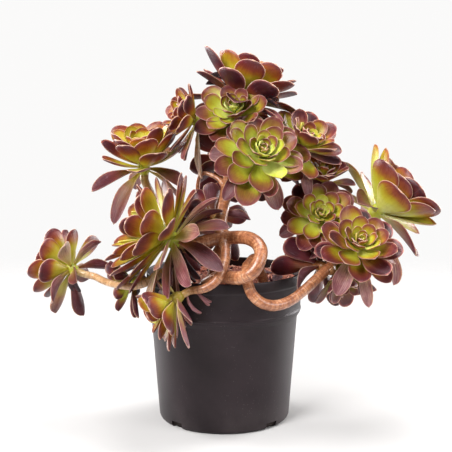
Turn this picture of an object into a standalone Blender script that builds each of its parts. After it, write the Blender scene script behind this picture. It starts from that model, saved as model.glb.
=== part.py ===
"""Tree aeonium in a black nursery pot.

A succulent with long bare stems that loop over the rim of a round plastic pot,
and a rosette of fleshy spoon-shaped leaves at the end of each stem. The origin
is the middle of the pot's flat bottom, +Z is up and the front is towards -Y.

Pieces: the pot, the soil, four stems that come out of the soil, eighteen
rosettes on the stems and a few fallen leaves on the soil.
"""
import math
from typing import NamedTuple

import bmesh
import bpy
import numpy as np
from mathutils import Vector
from mathutils.bvhtree import BVHTree

MM = 0.001
GAP = 0.3 * MM

# Pot
POT_HEIGHT = 182.6 * MM
RIM_RADIUS = 95.0 * MM
LIP_DEPTH = 13.0 * MM
LIP_PROUD = 1.0 * MM
COLLAR_BOTTOM = 134.0 * MM
COLLAR_RADIUS = 93.4 * MM
WALL_TOP = 128.0 * MM
WALL_TOP_RADIUS = 89.6 * MM
BASE_RADIUS = 80.2 * MM
BASE_EDGE = 4.5 * MM
POT_WALL = 2.0 * MM
POT_FLOOR = 2.5 * MM
POT_STEPS = 32
NOTCH_COUNT = 4
NOTCH_WIDTH = 17.0 * MM
NOTCH_HEIGHT = 8.0 * MM
NOTCH_DEPTH = 14.0 * MM

# Soil
SOIL_LEVEL = 171.0 * MM
SOIL_RINGS = (0.25, 0.5, 0.75)
SOIL_BUMP = 1.6 * MM
STEM_HOLE_PLAY = 0.7 * MM
ROOT_DEPTH = 26.0 * MM
STRAIGHT_ABOVE_SOIL = 8.0 * MM

# Stems
STEM_PITCH = 14.0 * MM
STEM_NECK = 9.0 * MM

# Rosettes
GOLDEN_ANGLE = math.radians(137.508)
CORE_RADIUS = 0.125
CORE_FOOT = 7.0 * MM
CORE_SIDES = 7
LEAF_ZONE = 0.34
BLADE_STATIONS = (0.0, 0.50, 0.85)
WIDEST_AT = 0.73
ROOT_WIDTH = 0.13
BLADE_THICKNESS = 1.3 * MM
BLADE_CUP = 0.20
CLEARANCES = (0.0, 0.3 * MM, 0.55 * MM)
OLD_BEND = 16.0
BENDS = (
    (0, 1.0), (8, 1.0), (-8, 1.0), (16, 0.95), (-16, 0.95), (0, 0.85), (24, 0.9),
    (-24, 0.9), (0, 0.7), (12, 0.75), (-12, 0.75), (-32, 0.85), (32, 0.85), (0, 0.55),
)

# Routes in millimetres: x, y, z and the stem's radius there
MAIN_LOOP = (
    (-13, -84, 186.5, 7.0), (-3, -94, 192, 7.2), (9, -107, 192.5, 7.4), (20, -118, 195, 7.6),
    (31, -122, 202, 7.6), (38, -119, 212, 7.6), (41, -111, 223, 7.6), (37, -101, 231, 7.6),
    (28, -90, 234.5, 7.6), (17, -80, 234.5, 7.6), (4, -72, 232.5, 7.6), (-13, -68, 230, 7.4),
    (-26, -69, 227, 7.0),
)
MAIN_TRUNK = (
    (-2, -68, 231, 7.0), (-4, -55, 244, 7.0), (-2, -40, 257, 7.0), (1, -26, 273, 6.8),
    (3, -13, 288, 6.6), (7, -3, 303, 6.6), (12, 6, 319, 6.4), (18, 14, 338, 6.0),
    (23, 22, 360, 5.6),
)
PROP = ((-10, -48, 205, 6.4), (-5, -56, 219, 6.2), (-2, -64, 231, 6.0))
HANGING = (
    (-1, -68, 231, 6.0), (2, -82, 221, 6.0), (1, -97, 210, 5.8), (-3, -109, 199, 5.6),
    (-12, -115, 188, 5.2), (-24, -117, 182, 4.8),
)
FRONT_U = (
    (6, -4, 303, 5.0), (11, -10, 291, 5.0), (15, -18, 279, 5.0), (23, -27, 271.5, 5.0),
    (32, -30, 274, 5.0), (36, -22, 288, 5.0),
)
SIDE_TWIG = (
    (2, -16, 285, 3.0), (-6, -10, 294, 2.8), (-15, -7, 299, 2.6), (-24, -4, 301, 2.5),
    (-30, -2, 296, 2.5), (-32, -2, 283, 2.5), (-32, 0, 268, 2.5),
)
TO_BACK_SHOOT = ((-2, -50, 250, 5.0),)
TO_CROWN_BACK = ((23, 22, 358, 5.2), (17, 22, 366, 5.0))
TO_CROWN_LEFT = ((18, 13, 336, 5.2), (18, 16, 347, 5.0))
TO_CROWN_SIDE = ((14, 9, 325, 5.0), (2, 10, 340, 4.8), (-10, 6, 352, 4.6))
TO_CROWN_RIGHT = (
    (9, 2, 309, 5.0), (26, 6, 303, 4.6), (46, 7, 300, 4.4), (66, 5, 303, 4.4),
)
TO_CROWN_REAR = ((10, 2, 309, 4.8), (20, 10, 311, 4.6))
RIGHT_BRANCH = (
    (37, -58, 205, 6.2), (29, -74, 202.5, 6.2), (25, -90, 198, 6.2), (26, -104, 187, 6.2),
    (32, -110, 174, 6.2), (42, -110, 165, 6.2), (55, -105, 160.5, 6.2), (68, -97, 161, 6.2),
    (80, -86, 165, 6.0), (92, -73, 171, 6.0), (105, -58, 179, 6.0), (116, -46, 186, 5.8),
    (127, -36, 195, 5.6), (137, -26, 206, 5.4), (145, -16, 221, 5.2), (149, -8, 238, 5.0),
    (147, -2, 254, 4.6), (140, 2, 266, 4.2),
)
TO_HANGING_RIGHT = ((134, -28, 202, 5.0), (136, -15, 206, 4.8))
TO_DARK_RIGHT = ((124, -40, 192, 5.0),)
TO_LOW_RIGHT = ((140, -23, 209, 4.8), (148, -33, 204, 4.6))
TO_MID_RIGHT = ((148, -8, 240, 4.6), (138, 0, 246, 4.4))
TO_OUTER_RIGHT = ((148, -8, 233, 5.0), (160, -3, 238, 4.8))
LEFT_BRANCH = (
    (-57, -50, 190, 4.8), (-69, -62, 191.5, 4.8), (-80, -70, 187, 4.6), (-91, -74, 180, 4.4),
    (-106, -71, 175.5, 4.2), (-124, -60, 175, 4.2), (-142, -43, 176.5, 4.2),
    (-155, -28, 179, 4.2),
)
TO_SMALL_LEFT = ((-78, -68, 188, 4.2), (-82, -60, 184, 4.0))
TALL_LEFT = (
    (-56, 12, 200, 5.4), (-64, 18, 222, 5.2), (-76, 20, 248, 5.0), (-88, 14, 272, 4.8),
)

# Where each stem meets the soil: x, y and the way it leans there
MAIN_FOOT = ((-24, -72), (0.30, -0.32, 1.0), 7.0)
PROP_FOOT = ((-15, -38), (0.12, -0.25, 1.0), 6.6)
RIGHT_FOOT = ((46, -42), (-0.10, -0.22, 1.0), 6.2)
LEFT_FOOT = ((-42, -38), (-0.45, -0.35, 1.0), 5.0)
TALL_FOOT = ((-50, 4), (-0.15, 0.20, 1.0), 5.6)


class Rosette(NamedTuple):
    """Where a rosette sits and how its leaves grow, in millimetres and degrees.

    facing is the way round from the front and the way up. blades is the first
    leaf that is a blade of its own here, as the younger ones are the bud. tilt
    is from the axis, for the youngest leaf, the last firm one and the oldest.
    opening below 1 opens the rosette early, and curl bends the blades in.
    """

    base: tuple
    facing: tuple
    length: float
    leaves: int
    blades: int
    tilt: tuple
    old: int
    opening: float = 1.1
    curl: tuple = (-40, -16)
    width: float = 0.52
    sag: float = 0.06
    hang: float = 0.25


ROSETTES = {
    "rosette_crown_front": Rosette(
        (40, -36, 318), (12, 36), 58, 52, 26, (10, 88, 116), 6, 0.8, (-34, 4), 0.50),
    "rosette_big_left": Rosette(
        (-57, -72, 229), (-88, 28), 80, 74, 39, (8, 76, 140), 24, 0.9, (-42, -22), 0.38, 0.05, 0.20),
    "rosette_low_right": Rosette(
        (153, -58, 213), (10, 44), 54, 40, 20, (10, 78, 112), 6, 0.85, (-34, -8), 0.52),
    "rosette_mid_right": Rosette(
        (114, -12, 246), (2, 28), 50, 44, 23, (10, 86, 112), 6, 0.8, (-34, 0), 0.50),
    "rosette_outer_right": Rosette(
        (183, 2, 251), (92, 42), 76, 40, 19, (8, 60, 118), 7, 0.9, (-42, -28), 0.64, 0.05, 0.20),
    "rosette_top_left": Rosette(
        (-97, 0, 306), (-15, 76), 61, 46, 22, (6, 60, 136), 7, 0.9, (-46, -34), 0.52, 0.04, 0.30),
    "rosette_crown_back": Rosette(
        (18, 24, 384), (105, 70), 74, 42, 19, (8, 66, 104), 8, 0.9, (-40, -24), 0.50, 0.04, 0.12),
    "rosette_crown_left": Rosette(
        (14, 0, 366), (-8, 40), 50, 42, 22, (10, 84, 108), 5, 0.8, (-34, -4), 0.52),
    "rosette_crown_side": Rosette(
        (-31, -2, 362), (-75, 24), 50, 32, 13, (8, 70, 132), 8, 0.9, (-40, -22), 0.46, 0.05, 0.32),
    "rosette_crown_right": Rosette(
        (88, -5, 327), (40, 46), 54, 36, 17, (8, 74, 112), 6, 0.9, (-36, -16), 0.50),
    "rosette_far_left": Rosette(
        (-182, -22, 187), (-112, 18), 52, 38, 17, (8, 76, 126), 9, 0.9, (-38, -18), 0.54, 0.06, 0.18),
    "rosette_small_right": Rosette(
        (122, 2, 286), (-8, 66), 42, 28, 13, (10, 74, 112), 4, 0.9, (-34, -10), 0.52),
    "rosette_hanging_left": Rosette(
        (-52, -117, 172), (-78, -26), 54, 32, 15, (8, 74, 102), 6, 0.9, (-30, -8), 0.52, 0.08),
    "rosette_hanging_right": Rosette(
        (139, -16, 190), (24, -52), 49, 22, 7, (6, 62, 84), 4, 0.9, (-26, 0), 0.42, 0.06),
    "rosette_back_shoot": Rosette(
        (-12, -26, 250), (-158, 6), 50, 20, 8, (10, 84, 116), 5, 0.9, (-34, -6), 0.50, 0.10),
    "rosette_crown_rear": Rosette(
        (16, 34, 314), (-150, 8), 58, 20, 9, (10, 84, 114), 4, 0.9, (-34, -6), 0.50, 0.10),
    "rosette_dark_right": Rosette(
        (117, -26, 191), (-140, 10), 57, 20, 8, (10, 82, 108), 4, 0.9, (-30, 0), 0.48, 0.08),
    "rosette_small_left": Rosette(
        (-104, -46, 178), (-110, -4), 42, 22, 7, (10, 78, 106), 4, 0.9, (-30, -4), 0.52, 0.10),
}

# Fallen leaves on the soil: x and y in millimetres, turn in degrees, length
FALLEN_LEAVES = ((10, -26, 20, 30), (63, -20, 75, 32), (52, 30, 160, 30), (-10, 40, 250, 34))


def smooth_step(x):
    """Rises smoothly from 0 to 1 as x goes from 0 to 1."""
    x = min(1.0, max(0.0, x))
    return x * x * (3 - 2 * x)


def clear_scene():
    """Remove what the scene holds at the start."""
    for item in list(bpy.data.objects):
        bpy.data.objects.remove(item, do_unlink=True)


def new_collection(name):
    """Make a collection in the scene."""
    group = bpy.data.collections.new(name)
    bpy.context.scene.collection.children.link(group)
    return group


def material(name, color, roughness, metallic=0.0):
    """Make a Principled material, or give back the one of that name."""
    found = bpy.data.materials.get(name)
    if found:
        return found
    made = bpy.data.materials.new(name)
    made.use_nodes = True
    shader = made.node_tree.nodes["Principled BSDF"]
    shader.inputs["Base Color"].default_value = (*color, 1.0)
    shader.inputs["Roughness"].default_value = roughness
    shader.inputs["Metallic"].default_value = metallic
    made.diffuse_color = (*color, 1.0)
    return made


def add_object(name, mesh, group, finish=None):
    """Put a mesh in the scene as a named object."""
    item = bpy.data.objects.new(name, mesh)
    group.objects.link(item)
    if finish:
        mesh.materials.clear()
        mesh.materials.append(finish)
    return item


def evaluated_mesh(item):
    """Give an object's mesh with its modifiers worked in."""
    bpy.context.view_layer.update()
    seen = item.evaluated_get(bpy.context.evaluated_depsgraph_get())
    return bpy.data.meshes.new_from_object(seen)


def turned_body(name, profile, steps, group):
    """Turn a profile of (radius, height) points round the Z axis."""
    mesh = bpy.data.meshes.new(name)
    points = [(r, 0.0, z) for r, z in profile]
    mesh.from_pydata(points, [(i, i + 1) for i in range(len(points) - 1)], [])
    item = add_object(name, mesh, group)
    screw = item.modifiers.new("turn", "SCREW")
    screw.axis = "Z"
    screw.angle = math.tau
    screw.steps = steps
    screw.render_steps = steps
    screw.use_merge_vertices = True
    screw.merge_threshold = 0.05 * MM
    screw.use_smooth_shade = True
    return item


def inner_wall(lowest):
    """List the inside of the pot's wall, from the lowest height up to the ledge."""
    return [
        (BASE_RADIUS - 1.35 * POT_WALL, lowest),
        (WALL_TOP_RADIUS - POT_WALL, WALL_TOP + 0.7 * POT_WALL),
        (COLLAR_RADIUS - POT_WALL, COLLAR_BOTTOM + 0.7 * POT_WALL),
    ]


def build_pot(group, cutters):
    """Make the round pot with its lip, collar and four drainage notches."""
    lip_foot = POT_HEIGHT - LIP_DEPTH
    profile = [(0.0, POT_FLOOR)]
    profile += inner_wall(POT_FLOOR)
    profile += [
        (RIM_RADIUS - 1.3 * POT_WALL, POT_HEIGHT - 1.2 * MM),
        (RIM_RADIUS - 1.0 * POT_WALL, POT_HEIGHT),
        (RIM_RADIUS - 0.5 * POT_WALL, POT_HEIGHT),
        (RIM_RADIUS, POT_HEIGHT - 1.2 * MM),
        (RIM_RADIUS, lip_foot + LIP_PROUD),
        (RIM_RADIUS - LIP_PROUD, lip_foot),
        (COLLAR_RADIUS, COLLAR_BOTTOM),
        (WALL_TOP_RADIUS, WALL_TOP),
        (BASE_RADIUS, BASE_EDGE),
        (BASE_RADIUS - 0.3 * BASE_EDGE, 0.3 * BASE_EDGE),
        (BASE_RADIUS - BASE_EDGE, 0.0),
        (0.0, 0.0),
    ]
    pot = turned_body("pot", profile, POT_STEPS, group)
    pot.data.materials.append(material("black_plastic", (0.035, 0.033, 0.037), 0.5))
    for i in range(NOTCH_COUNT):
        turn = math.tau * (i + 0.5) / NOTCH_COUNT
        bpy.ops.mesh.primitive_cube_add(size=1.0)
        notch = bpy.context.object
        notch.name = f"notch_cutter_{i + 1}"
        notch.scale = (NOTCH_DEPTH, NOTCH_WIDTH, 2 * NOTCH_HEIGHT)
        notch.rotation_euler = (0.0, 0.0, turn)
        notch.location = (BASE_RADIUS * math.cos(turn), BASE_RADIUS * math.sin(turn), 0.0)
        for owner in list(notch.users_collection):
            owner.objects.unlink(notch)
        cutters.objects.link(notch)
        notch.hide_render = True
        notch.display_type = "WIRE"
    cut = pot.modifiers.new("notches", "BOOLEAN")
    cut.operand_type = "COLLECTION"
    cut.collection = cutters
    cut.operation = "DIFFERENCE"
    cut.solver = "EXACT"
    return pot


def smooth_route(points, pitch):
    """Read a smooth curve through (x, y, z, radius) points, about a pitch apart."""
    points = np.array(points, dtype=float)
    ends = np.vstack([2 * points[0] - points[1], points, 2 * points[-1] - points[-2]])
    samples = []
    for k in range(len(points) - 1):
        p0, p1, p2, p3 = ends[k:k + 4]
        run = np.linalg.norm(p2[:3] - p1[:3])
        count = max(1, round(run / pitch))
        for t in np.arange(count) / count:
            samples.append(0.5 * (2 * p1 + (p2 - p0) * t + (2 * p0 - 5 * p1 + 4 * p2 - p3) * t ** 2
                                  + (3 * p1 - p0 - 3 * p2 + p3) * t ** 3))
    samples.append(points[-1])
    return np.array(samples)


def tube_mesh(name, samples, group, resolution=2):
    """Make a closed round tube along (x, y, z, radius) samples."""
    curve = bpy.data.curves.new(name, "CURVE")
    curve.dimensions = "3D"
    curve.bevel_depth = 1.0
    curve.bevel_resolution = resolution
    curve.use_fill_caps = True
    spline = curve.splines.new("POLY")
    spline.points.add(len(samples) - 1)
    for point, (x, y, z, radius) in zip(spline.points, samples):
        point.co = (x, y, z, 1.0)
        point.radius = radius
    item = bpy.data.objects.new(name, curve)
    group.objects.link(item)
    mesh = evaluated_mesh(item)
    bpy.data.objects.remove(item, do_unlink=True)
    bpy.data.curves.remove(curve)
    weld(mesh)
    return mesh


def weld(mesh):
    """Join doubled corners and point the faces outwards."""
    work = bmesh.new()
    work.from_mesh(mesh)
    bmesh.ops.remove_doubles(work, verts=work.verts, dist=0.005 * MM)
    bmesh.ops.recalc_face_normals(work, faces=work.faces)
    work.to_mesh(mesh)
    work.free()


def rosette_axis(name):
    """Give a rosette's base and the unit vector that it faces along."""
    around, up = (math.radians(angle) for angle in ROSETTES[name].facing)
    axis = np.array([
        math.sin(around) * math.cos(up), -math.cos(around) * math.cos(up), math.sin(up)])
    return np.array(ROSETTES[name].base) * MM, axis


def neck(name, radius):
    """End a stem square under a rosette, with its last stretch along the axis."""
    base, axis = rosette_axis(name)
    foot = base - axis * (CORE_FOOT + GAP)
    return [(*(foot - axis * STEM_NECK), radius), (*foot, radius)]


def metres(route):
    """Turn a route in millimetres to metres."""
    return [tuple(v * MM for v in point) for point in route]


def soil_entry(foot):
    """Start a stem in the soil with a straight stretch, from its lowest point up."""
    (x, y), lean, radius = foot
    lean = np.array(lean) / np.linalg.norm(lean)
    ground = np.array([x * MM, y * MM, SOIL_LEVEL])
    steps = (-ROOT_DEPTH, -0.5 * ROOT_DEPTH, 3 * MM, STRAIGHT_ABOVE_SOIL)
    return [(*(ground + lean * step), radius * MM) for step in steps]


def fuse(name, meshes, group, finish):
    """Join overlapping closed meshes into one body and keep the largest shell."""
    parts = new_collection(name + "_parts")
    for i, mesh in enumerate(meshes[1:]):
        add_object(f"{name}_part_{i}", mesh, parts)
    body = add_object(name, meshes[0], group)
    join = body.modifiers.new("join", "BOOLEAN")
    join.operand_type = "COLLECTION"
    join.collection = parts
    join.operation = "UNION"
    join.solver = "EXACT"
    joined = evaluated_mesh(body)
    body.modifiers.remove(join)
    body.data = joined
    for part in list(parts.objects):
        bpy.data.objects.remove(part, do_unlink=True)
    bpy.data.collections.remove(parts)
    tidy_shell(joined)
    joined.materials.clear()
    joined.materials.append(finish)
    joined.name = name
    return body


def shells(work):
    """List the groups of faces that hang together in a bmesh."""
    left = set(work.faces)
    found = []
    while left:
        start = left.pop()
        shell = {start}
        edge_of = [start]
        while edge_of:
            for edge in edge_of.pop().edges:
                for face in edge.link_faces:
                    if face in left:
                        left.discard(face)
                        shell.add(face)
                        edge_of.append(face)
        found.append(shell)
    return sorted(found, key=len, reverse=True)


def tidy_shell(mesh):
    """Melt slivers, keep the largest shell and cut its faces into triangles."""
    work = bmesh.new()
    work.from_mesh(mesh)
    bmesh.ops.remove_doubles(work, verts=work.verts, dist=0.004 * MM)
    bmesh.ops.dissolve_degenerate(work, edges=work.edges, dist=0.004 * MM)
    spare = [face for shell in shells(work)[1:] for face in shell]
    bmesh.ops.delete(work, geom=spare, context="FACES")
    bmesh.ops.triangulate(work, faces=work.faces)
    work.to_mesh(mesh)
    work.free()


def build_stem(name, routes, group, finish):
    """Fuse a stem and its branches into one body."""
    meshes = [tube_mesh(f"{name}_{i}", smooth_route(route, STEM_PITCH), group)
              for i, route in enumerate(routes)]
    stem = fuse(name, meshes, group, finish)
    stem.data.shade_smooth()
    stem.data.set_sharp_from_angle(angle=math.radians(50))
    return stem


def build_stems(group):
    """Make the four stems that come out of the soil."""
    bark = material("copper_bark", (0.36, 0.16, 0.08), 0.45)
    pale = material("tan_bark", (0.50, 0.33, 0.17), 0.5)
    main = [
        soil_entry(MAIN_FOOT) + metres(MAIN_LOOP) + neck("rosette_big_left", 6.4 * MM),
        metres(MAIN_TRUNK),
        soil_entry(PROP_FOOT) + metres(PROP),
        metres(HANGING) + neck("rosette_hanging_left", 4.2 * MM),
        metres(FRONT_U) + neck("rosette_crown_front", 5.0 * MM),
        metres(SIDE_TWIG),
        metres(TO_BACK_SHOOT) + neck("rosette_back_shoot", 4.6 * MM),
        metres(TO_CROWN_BACK) + neck("rosette_crown_back", 5.0 * MM),
        metres(TO_CROWN_LEFT) + neck("rosette_crown_left", 4.8 * MM),
        metres(TO_CROWN_SIDE) + neck("rosette_crown_side", 4.4 * MM),
        metres(TO_CROWN_RIGHT) + neck("rosette_crown_right", 4.4 * MM),
        metres(TO_CROWN_REAR) + neck("rosette_crown_rear", 4.4 * MM),
    ]
    right = [
        soil_entry(RIGHT_FOOT) + metres(RIGHT_BRANCH) + neck("rosette_small_right", 3.8 * MM),
        metres(TO_HANGING_RIGHT) + neck("rosette_hanging_right", 4.4 * MM),
        metres(TO_DARK_RIGHT) + neck("rosette_dark_right", 4.4 * MM),
        metres(TO_LOW_RIGHT) + neck("rosette_low_right", 4.6 * MM),
        metres(TO_MID_RIGHT) + neck("rosette_mid_right", 4.4 * MM),
        metres(TO_OUTER_RIGHT) + neck("rosette_outer_right", 5.0 * MM),
    ]
    left = [
        soil_entry(LEFT_FOOT) + metres(LEFT_BRANCH) + neck("rosette_far_left", 4.2 * MM),
        metres(TO_SMALL_LEFT) + neck("rosette_small_left", 3.8 * MM),
    ]
    tall = [soil_entry(TALL_FOOT) + metres(TALL_LEFT) + neck("rosette_top_left", 5.0 * MM)]
    return [
        build_stem("stem_main", main, group, bark),
        build_stem("stem_right", right, group, bark),
        build_stem("stem_left_low", left, group, pale),
        build_stem("stem_left_tall", tall, group, pale),
    ]


def soil_bump(x, y):
    """Give the height of the soil's lumps above its level at a place."""
    waves = math.sin(x / (9.0 * MM) + 1.0) * math.cos(y / (11.0 * MM))
    ripple = 0.5 * math.sin((x + 1.6 * y) / (6.5 * MM) + 2.0)
    return SOIL_BUMP * 0.7 * (waves + ripple)


def build_soil(group, cutters):
    """Fill the pot with soil that has a lumpy top and a hole for each stem."""
    side = [(r - GAP, z) for r, z in inner_wall(POT_FLOOR + GAP)]
    edge = side[-1][0]
    profile = [(0.0, SOIL_LEVEL)]
    profile += [(edge * share, SOIL_LEVEL) for share in sorted(SOIL_RINGS)]
    profile += [(edge, SOIL_LEVEL)]
    profile += side[::-1]
    profile += [(0.0, POT_FLOOR + GAP)]
    lump = turned_body("soil_block", profile, POT_STEPS, cutters)
    mesh = evaluated_mesh(lump)
    bpy.data.objects.remove(lump, do_unlink=True)
    weld(mesh)
    for vertex in mesh.vertices:
        if vertex.co.z > SOIL_LEVEL - MM and math.hypot(*vertex.co.xy) < edge - MM:
            vertex.co.z += soil_bump(vertex.co.x, vertex.co.y)
    soil = add_object("soil", mesh, group, material("soil_mix", (0.16, 0.075, 0.045), 0.95))
    for i, foot in enumerate((MAIN_FOOT, PROP_FOOT, RIGHT_FOOT, LEFT_FOOT, TALL_FOOT)):
        route = np.array(soil_entry(foot))
        route[:, 3] += STEM_HOLE_PLAY
        route[0, :3] -= (route[1, :3] - route[0, :3]) * (STEM_HOLE_PLAY / (0.5 * ROOT_DEPTH))
        hole = tube_mesh(f"stem_hole_{i + 1}", route, cutters, resolution=3)
        cutter = add_object(f"stem_hole_{i + 1}", hole, cutters)
        cutter.hide_render = True
        cutter.display_type = "WIRE"
    cut = soil.modifiers.new("stem holes", "BOOLEAN")
    cut.operand_type = "COLLECTION"
    cut.collection = cutters
    cut.operation = "DIFFERENCE"
    cut.solver = "EXACT"
    return soil


def leaf_rule(name):
    """Work out each leaf of a rosette from its row in ROSETTES.

    Leaves follow the golden angle from the youngest, in the middle, to the
    oldest. The firm ones lengthen and tilt outwards with age, and curl in. The
    old ones below them are narrower, bend back and hang.
    """
    row = ROSETTES[name]
    draw = np.random.default_rng(sum(ord(c) * (i + 7) for i, c in enumerate(name)))
    phase = draw.uniform(0, math.tau)
    jitter = draw.normal(0.0, 1.0, (row.leaves, 5))
    firm = row.leaves - row.old
    leaves = []
    for i in range(row.leaves):
        age = min(1.0, i / (firm - 1))
        aged = max(0.0, (i - firm + 1) / row.old)
        size = row.length * MM * (0.22 + 0.78 * min(1.0, age / 0.7)) * (1 + 0.05 * jitter[i, 0])
        tilt = row.tilt[0] + (row.tilt[1] - row.tilt[0]) * age ** row.opening
        tilt += (row.tilt[2] - row.tilt[1]) * aged
        bend = row.curl[0] + (row.curl[1] - row.curl[0]) * age
        bend += (OLD_BEND - row.curl[1]) * min(1.0, 2 * aged)
        leaves.append({
            "turn": phase + GOLDEN_ANGLE * i + 0.10 * jitter[i, 1],
            "tilt": math.radians(tilt + 4 * jitter[i, 2]),
            "bend": math.radians(bend + 6 * jitter[i, 3]),
            "twist": 0.14 * jitter[i, 4],
            "length": size,
            "width": size * row.width * (1.14 - 0.14 * age - 0.28 * aged),
            "root": LEAF_ZONE * row.length * MM * (1 - i / (row.leaves - 1)) ** 1.2,
            "sag": row.sag * age ** 2 + row.hang * aged,
        })
    return leaves


def blade_outline(s):
    """Give a blade's half width, over its greatest, at a share s of its length."""
    if s <= WIDEST_AT:
        return ROOT_WIDTH + (1 - ROOT_WIDTH) * smooth_step(s / WIDEST_AT)
    return math.sqrt(max(0.0, 1 - ((s - WIDEST_AT) / (1 - WIDEST_AT)) ** 2))


def leaf_frame(name, leaf, bend_by, s):
    """Place a point of a leaf's midrib, with the ways across the blade and up.

    The midrib is an arc in the plane of the rosette's axis: its tilt from the
    axis grows evenly along its length, and sag pulls it down as s squared.
    """
    base, axis = rosette_axis(name)
    side = np.cross(axis, (0.0, 0.0, 1.0))
    side /= np.linalg.norm(side)
    other = np.cross(axis, side)
    out = math.cos(leaf["turn"]) * side + math.sin(leaf["turn"]) * other
    across = np.cross(axis, out)
    start = leaf["tilt"] + math.radians(bend_by) - 0.5 * leaf["bend"]
    tilt = start + leaf["bend"] * s
    reach = leaf["length"] / leaf["bend"]
    point = base + axis * (leaf["root"] + reach * (math.sin(tilt) - math.sin(start)))
    point = point + out * reach * (math.cos(start) - math.cos(tilt))
    point = point - np.array((0.0, 0.0, leaf["sag"] * leaf["length"] * s * s))
    up = math.sin(tilt) * axis - math.cos(tilt) * out
    twist = leaf["twist"] * s
    return (point, math.cos(twist) * across + math.sin(twist) * up,
            math.cos(twist) * up - math.sin(twist) * across)


def blade(name, leaf, bend_by, scale, spare=0.0):
    """Build a leaf's corners and triangles.

    Each station has three corners: the two edges, which are lifted, and the
    keel under the midrib, so that the blade is flat above and fleshy below. A
    spare above 0 swells the blade all round.
    """
    leaf = dict(leaf, length=leaf["length"] * scale, width=leaf["width"] * scale)
    points = []
    for s in BLADE_STATIONS:
        centre, across, up = leaf_frame(name, leaf, bend_by, s)
        half = 0.5 * leaf["width"] * blade_outline(s) + spare
        lift = BLADE_CUP * half * smooth_step(2.5 * s) + 0.5 * BLADE_THICKNESS + spare
        keel = BLADE_THICKNESS * (1.3 - 0.5 * s) + spare
        points += [centre + across * half + up * lift, centre - across * half + up * lift,
                   centre - up * keel]
    tip, _, up = leaf_frame(name, leaf, bend_by, 1.0 + spare / leaf["length"])
    points.append(tip + up * BLADE_THICKNESS)
    faces = [(0, 1, 2)]
    for k in range(len(BLADE_STATIONS) - 1):
        a, b = 3 * k, 3 * k + 3
        for i in range(3):
            j = (i + 1) % 3
            faces += [(a + i, b + i, b + j), (a + i, b + j, a + j)]
    last, end = 3 * (len(BLADE_STATIONS) - 1), len(points) - 1
    faces += [(last + i, end, last + (i + 1) % 3) for i in range(3)]
    return points, faces


def blade_mesh(name, leaf, bend_by, scale):
    """Make a leaf's mesh, with its faces outwards."""
    points, faces = blade(name, leaf, bend_by, scale)
    mesh = bpy.data.meshes.new("leaf")
    mesh.from_pydata([tuple(p) for p in points], [], faces)
    weld(mesh)
    return mesh


def core_mesh(name):
    """Make a rosette's core: the stem's swollen end with a closed bud on top."""
    base, axis = rosette_axis(name)
    length = ROSETTES[name].length * MM
    wide = CORE_RADIUS * length
    rings = (
        (-CORE_FOOT, 0.62 * wide), (-0.3 * CORE_FOOT, wide), (0.75 * LEAF_ZONE * length, 0.9 * wide),
        (LEAF_ZONE * length + 0.12 * length, 0.72 * wide), (LEAF_ZONE * length + 0.26 * length, 0.0),
    )
    turn = Vector(axis).to_track_quat("Z", "Y").to_matrix()
    work = bmesh.new()
    loops = []
    for height, radius in rings[:-1]:
        loops.append([work.verts.new(Vector(base) + turn @ Vector((
            radius * math.cos(math.tau * i / CORE_SIDES), radius * math.sin(math.tau * i / CORE_SIDES),
            height))) for i in range(CORE_SIDES)])
    top = work.verts.new(Vector(base) + turn @ Vector((0.0, 0.0, rings[-1][0])))
    for low, high in zip(loops, loops[1:]):
        for i in range(CORE_SIDES):
            j = (i + 1) % CORE_SIDES
            work.faces.new((low[i], low[j], high[j], high[i]))
    for i in range(CORE_SIDES):
        work.faces.new((loops[-1][i], loops[-1][(i + 1) % CORE_SIDES], top))
    work.faces.new(loops[0][::-1])
    bmesh.ops.recalc_face_normals(work, faces=work.faces)
    mesh = bpy.data.meshes.new("core")
    work.to_mesh(mesh)
    work.free()
    return mesh


class Surfaces:
    """Collects the surfaces of finished pieces, to test new leaves against."""

    def __init__(self):
        self.points, self.faces = [], []

    def add_mesh(self, mesh):
        """Add a mesh's surface."""
        start = len(self.points)
        self.points += [tuple(vertex.co) for vertex in mesh.vertices]
        self.faces += [tuple(start + i for i in face.vertices) for face in mesh.polygons]

    def add(self, item):
        """Add an object's evaluated surface."""
        mesh = evaluated_mesh(item)
        self.add_mesh(mesh)
        bpy.data.meshes.remove(mesh)

    def tree(self, others=()):
        """Build a search tree over all that was added and some other meshes."""
        both = Surfaces()
        both.points, both.faces = list(self.points), list(self.faces)
        for mesh in others:
            both.add_mesh(mesh)
        return BVHTree.FromPolygons(both.points, both.faces)


def crosses(points, faces, others):
    """Say whether a closed surface crosses the other pieces."""
    return bool(BVHTree.FromPolygons([tuple(p) for p in points], faces).overlap(others))


def clear_bend(name, leaf, others):
    """Find the first bend of a leaf that keeps it clear of the other pieces.

    The blade is tested as it is and swollen, as a swollen blade may hold the
    whole end of a thin piece and cross nothing.
    """
    for bend_by, scale in BENDS:
        if not any(crosses(*blade(name, leaf, bend_by, scale, spare), others) for spare in CLEARANCES):
            return bend_by, scale
    return None


def build_rosette(name, core, group, others):
    """Make one rosette: a core and its blades, bent clear of the other pieces."""
    meshes = [core]
    for leaf in leaf_rule(name)[ROSETTES[name].blades:]:
        bend = clear_bend(name, leaf, others)
        if bend:
            meshes.append(blade_mesh(name, leaf, *bend))
    return fuse(name, meshes, group, material("leaf_" + name[8:], (0.30, 0.30, 0.10), 0.5))


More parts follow.
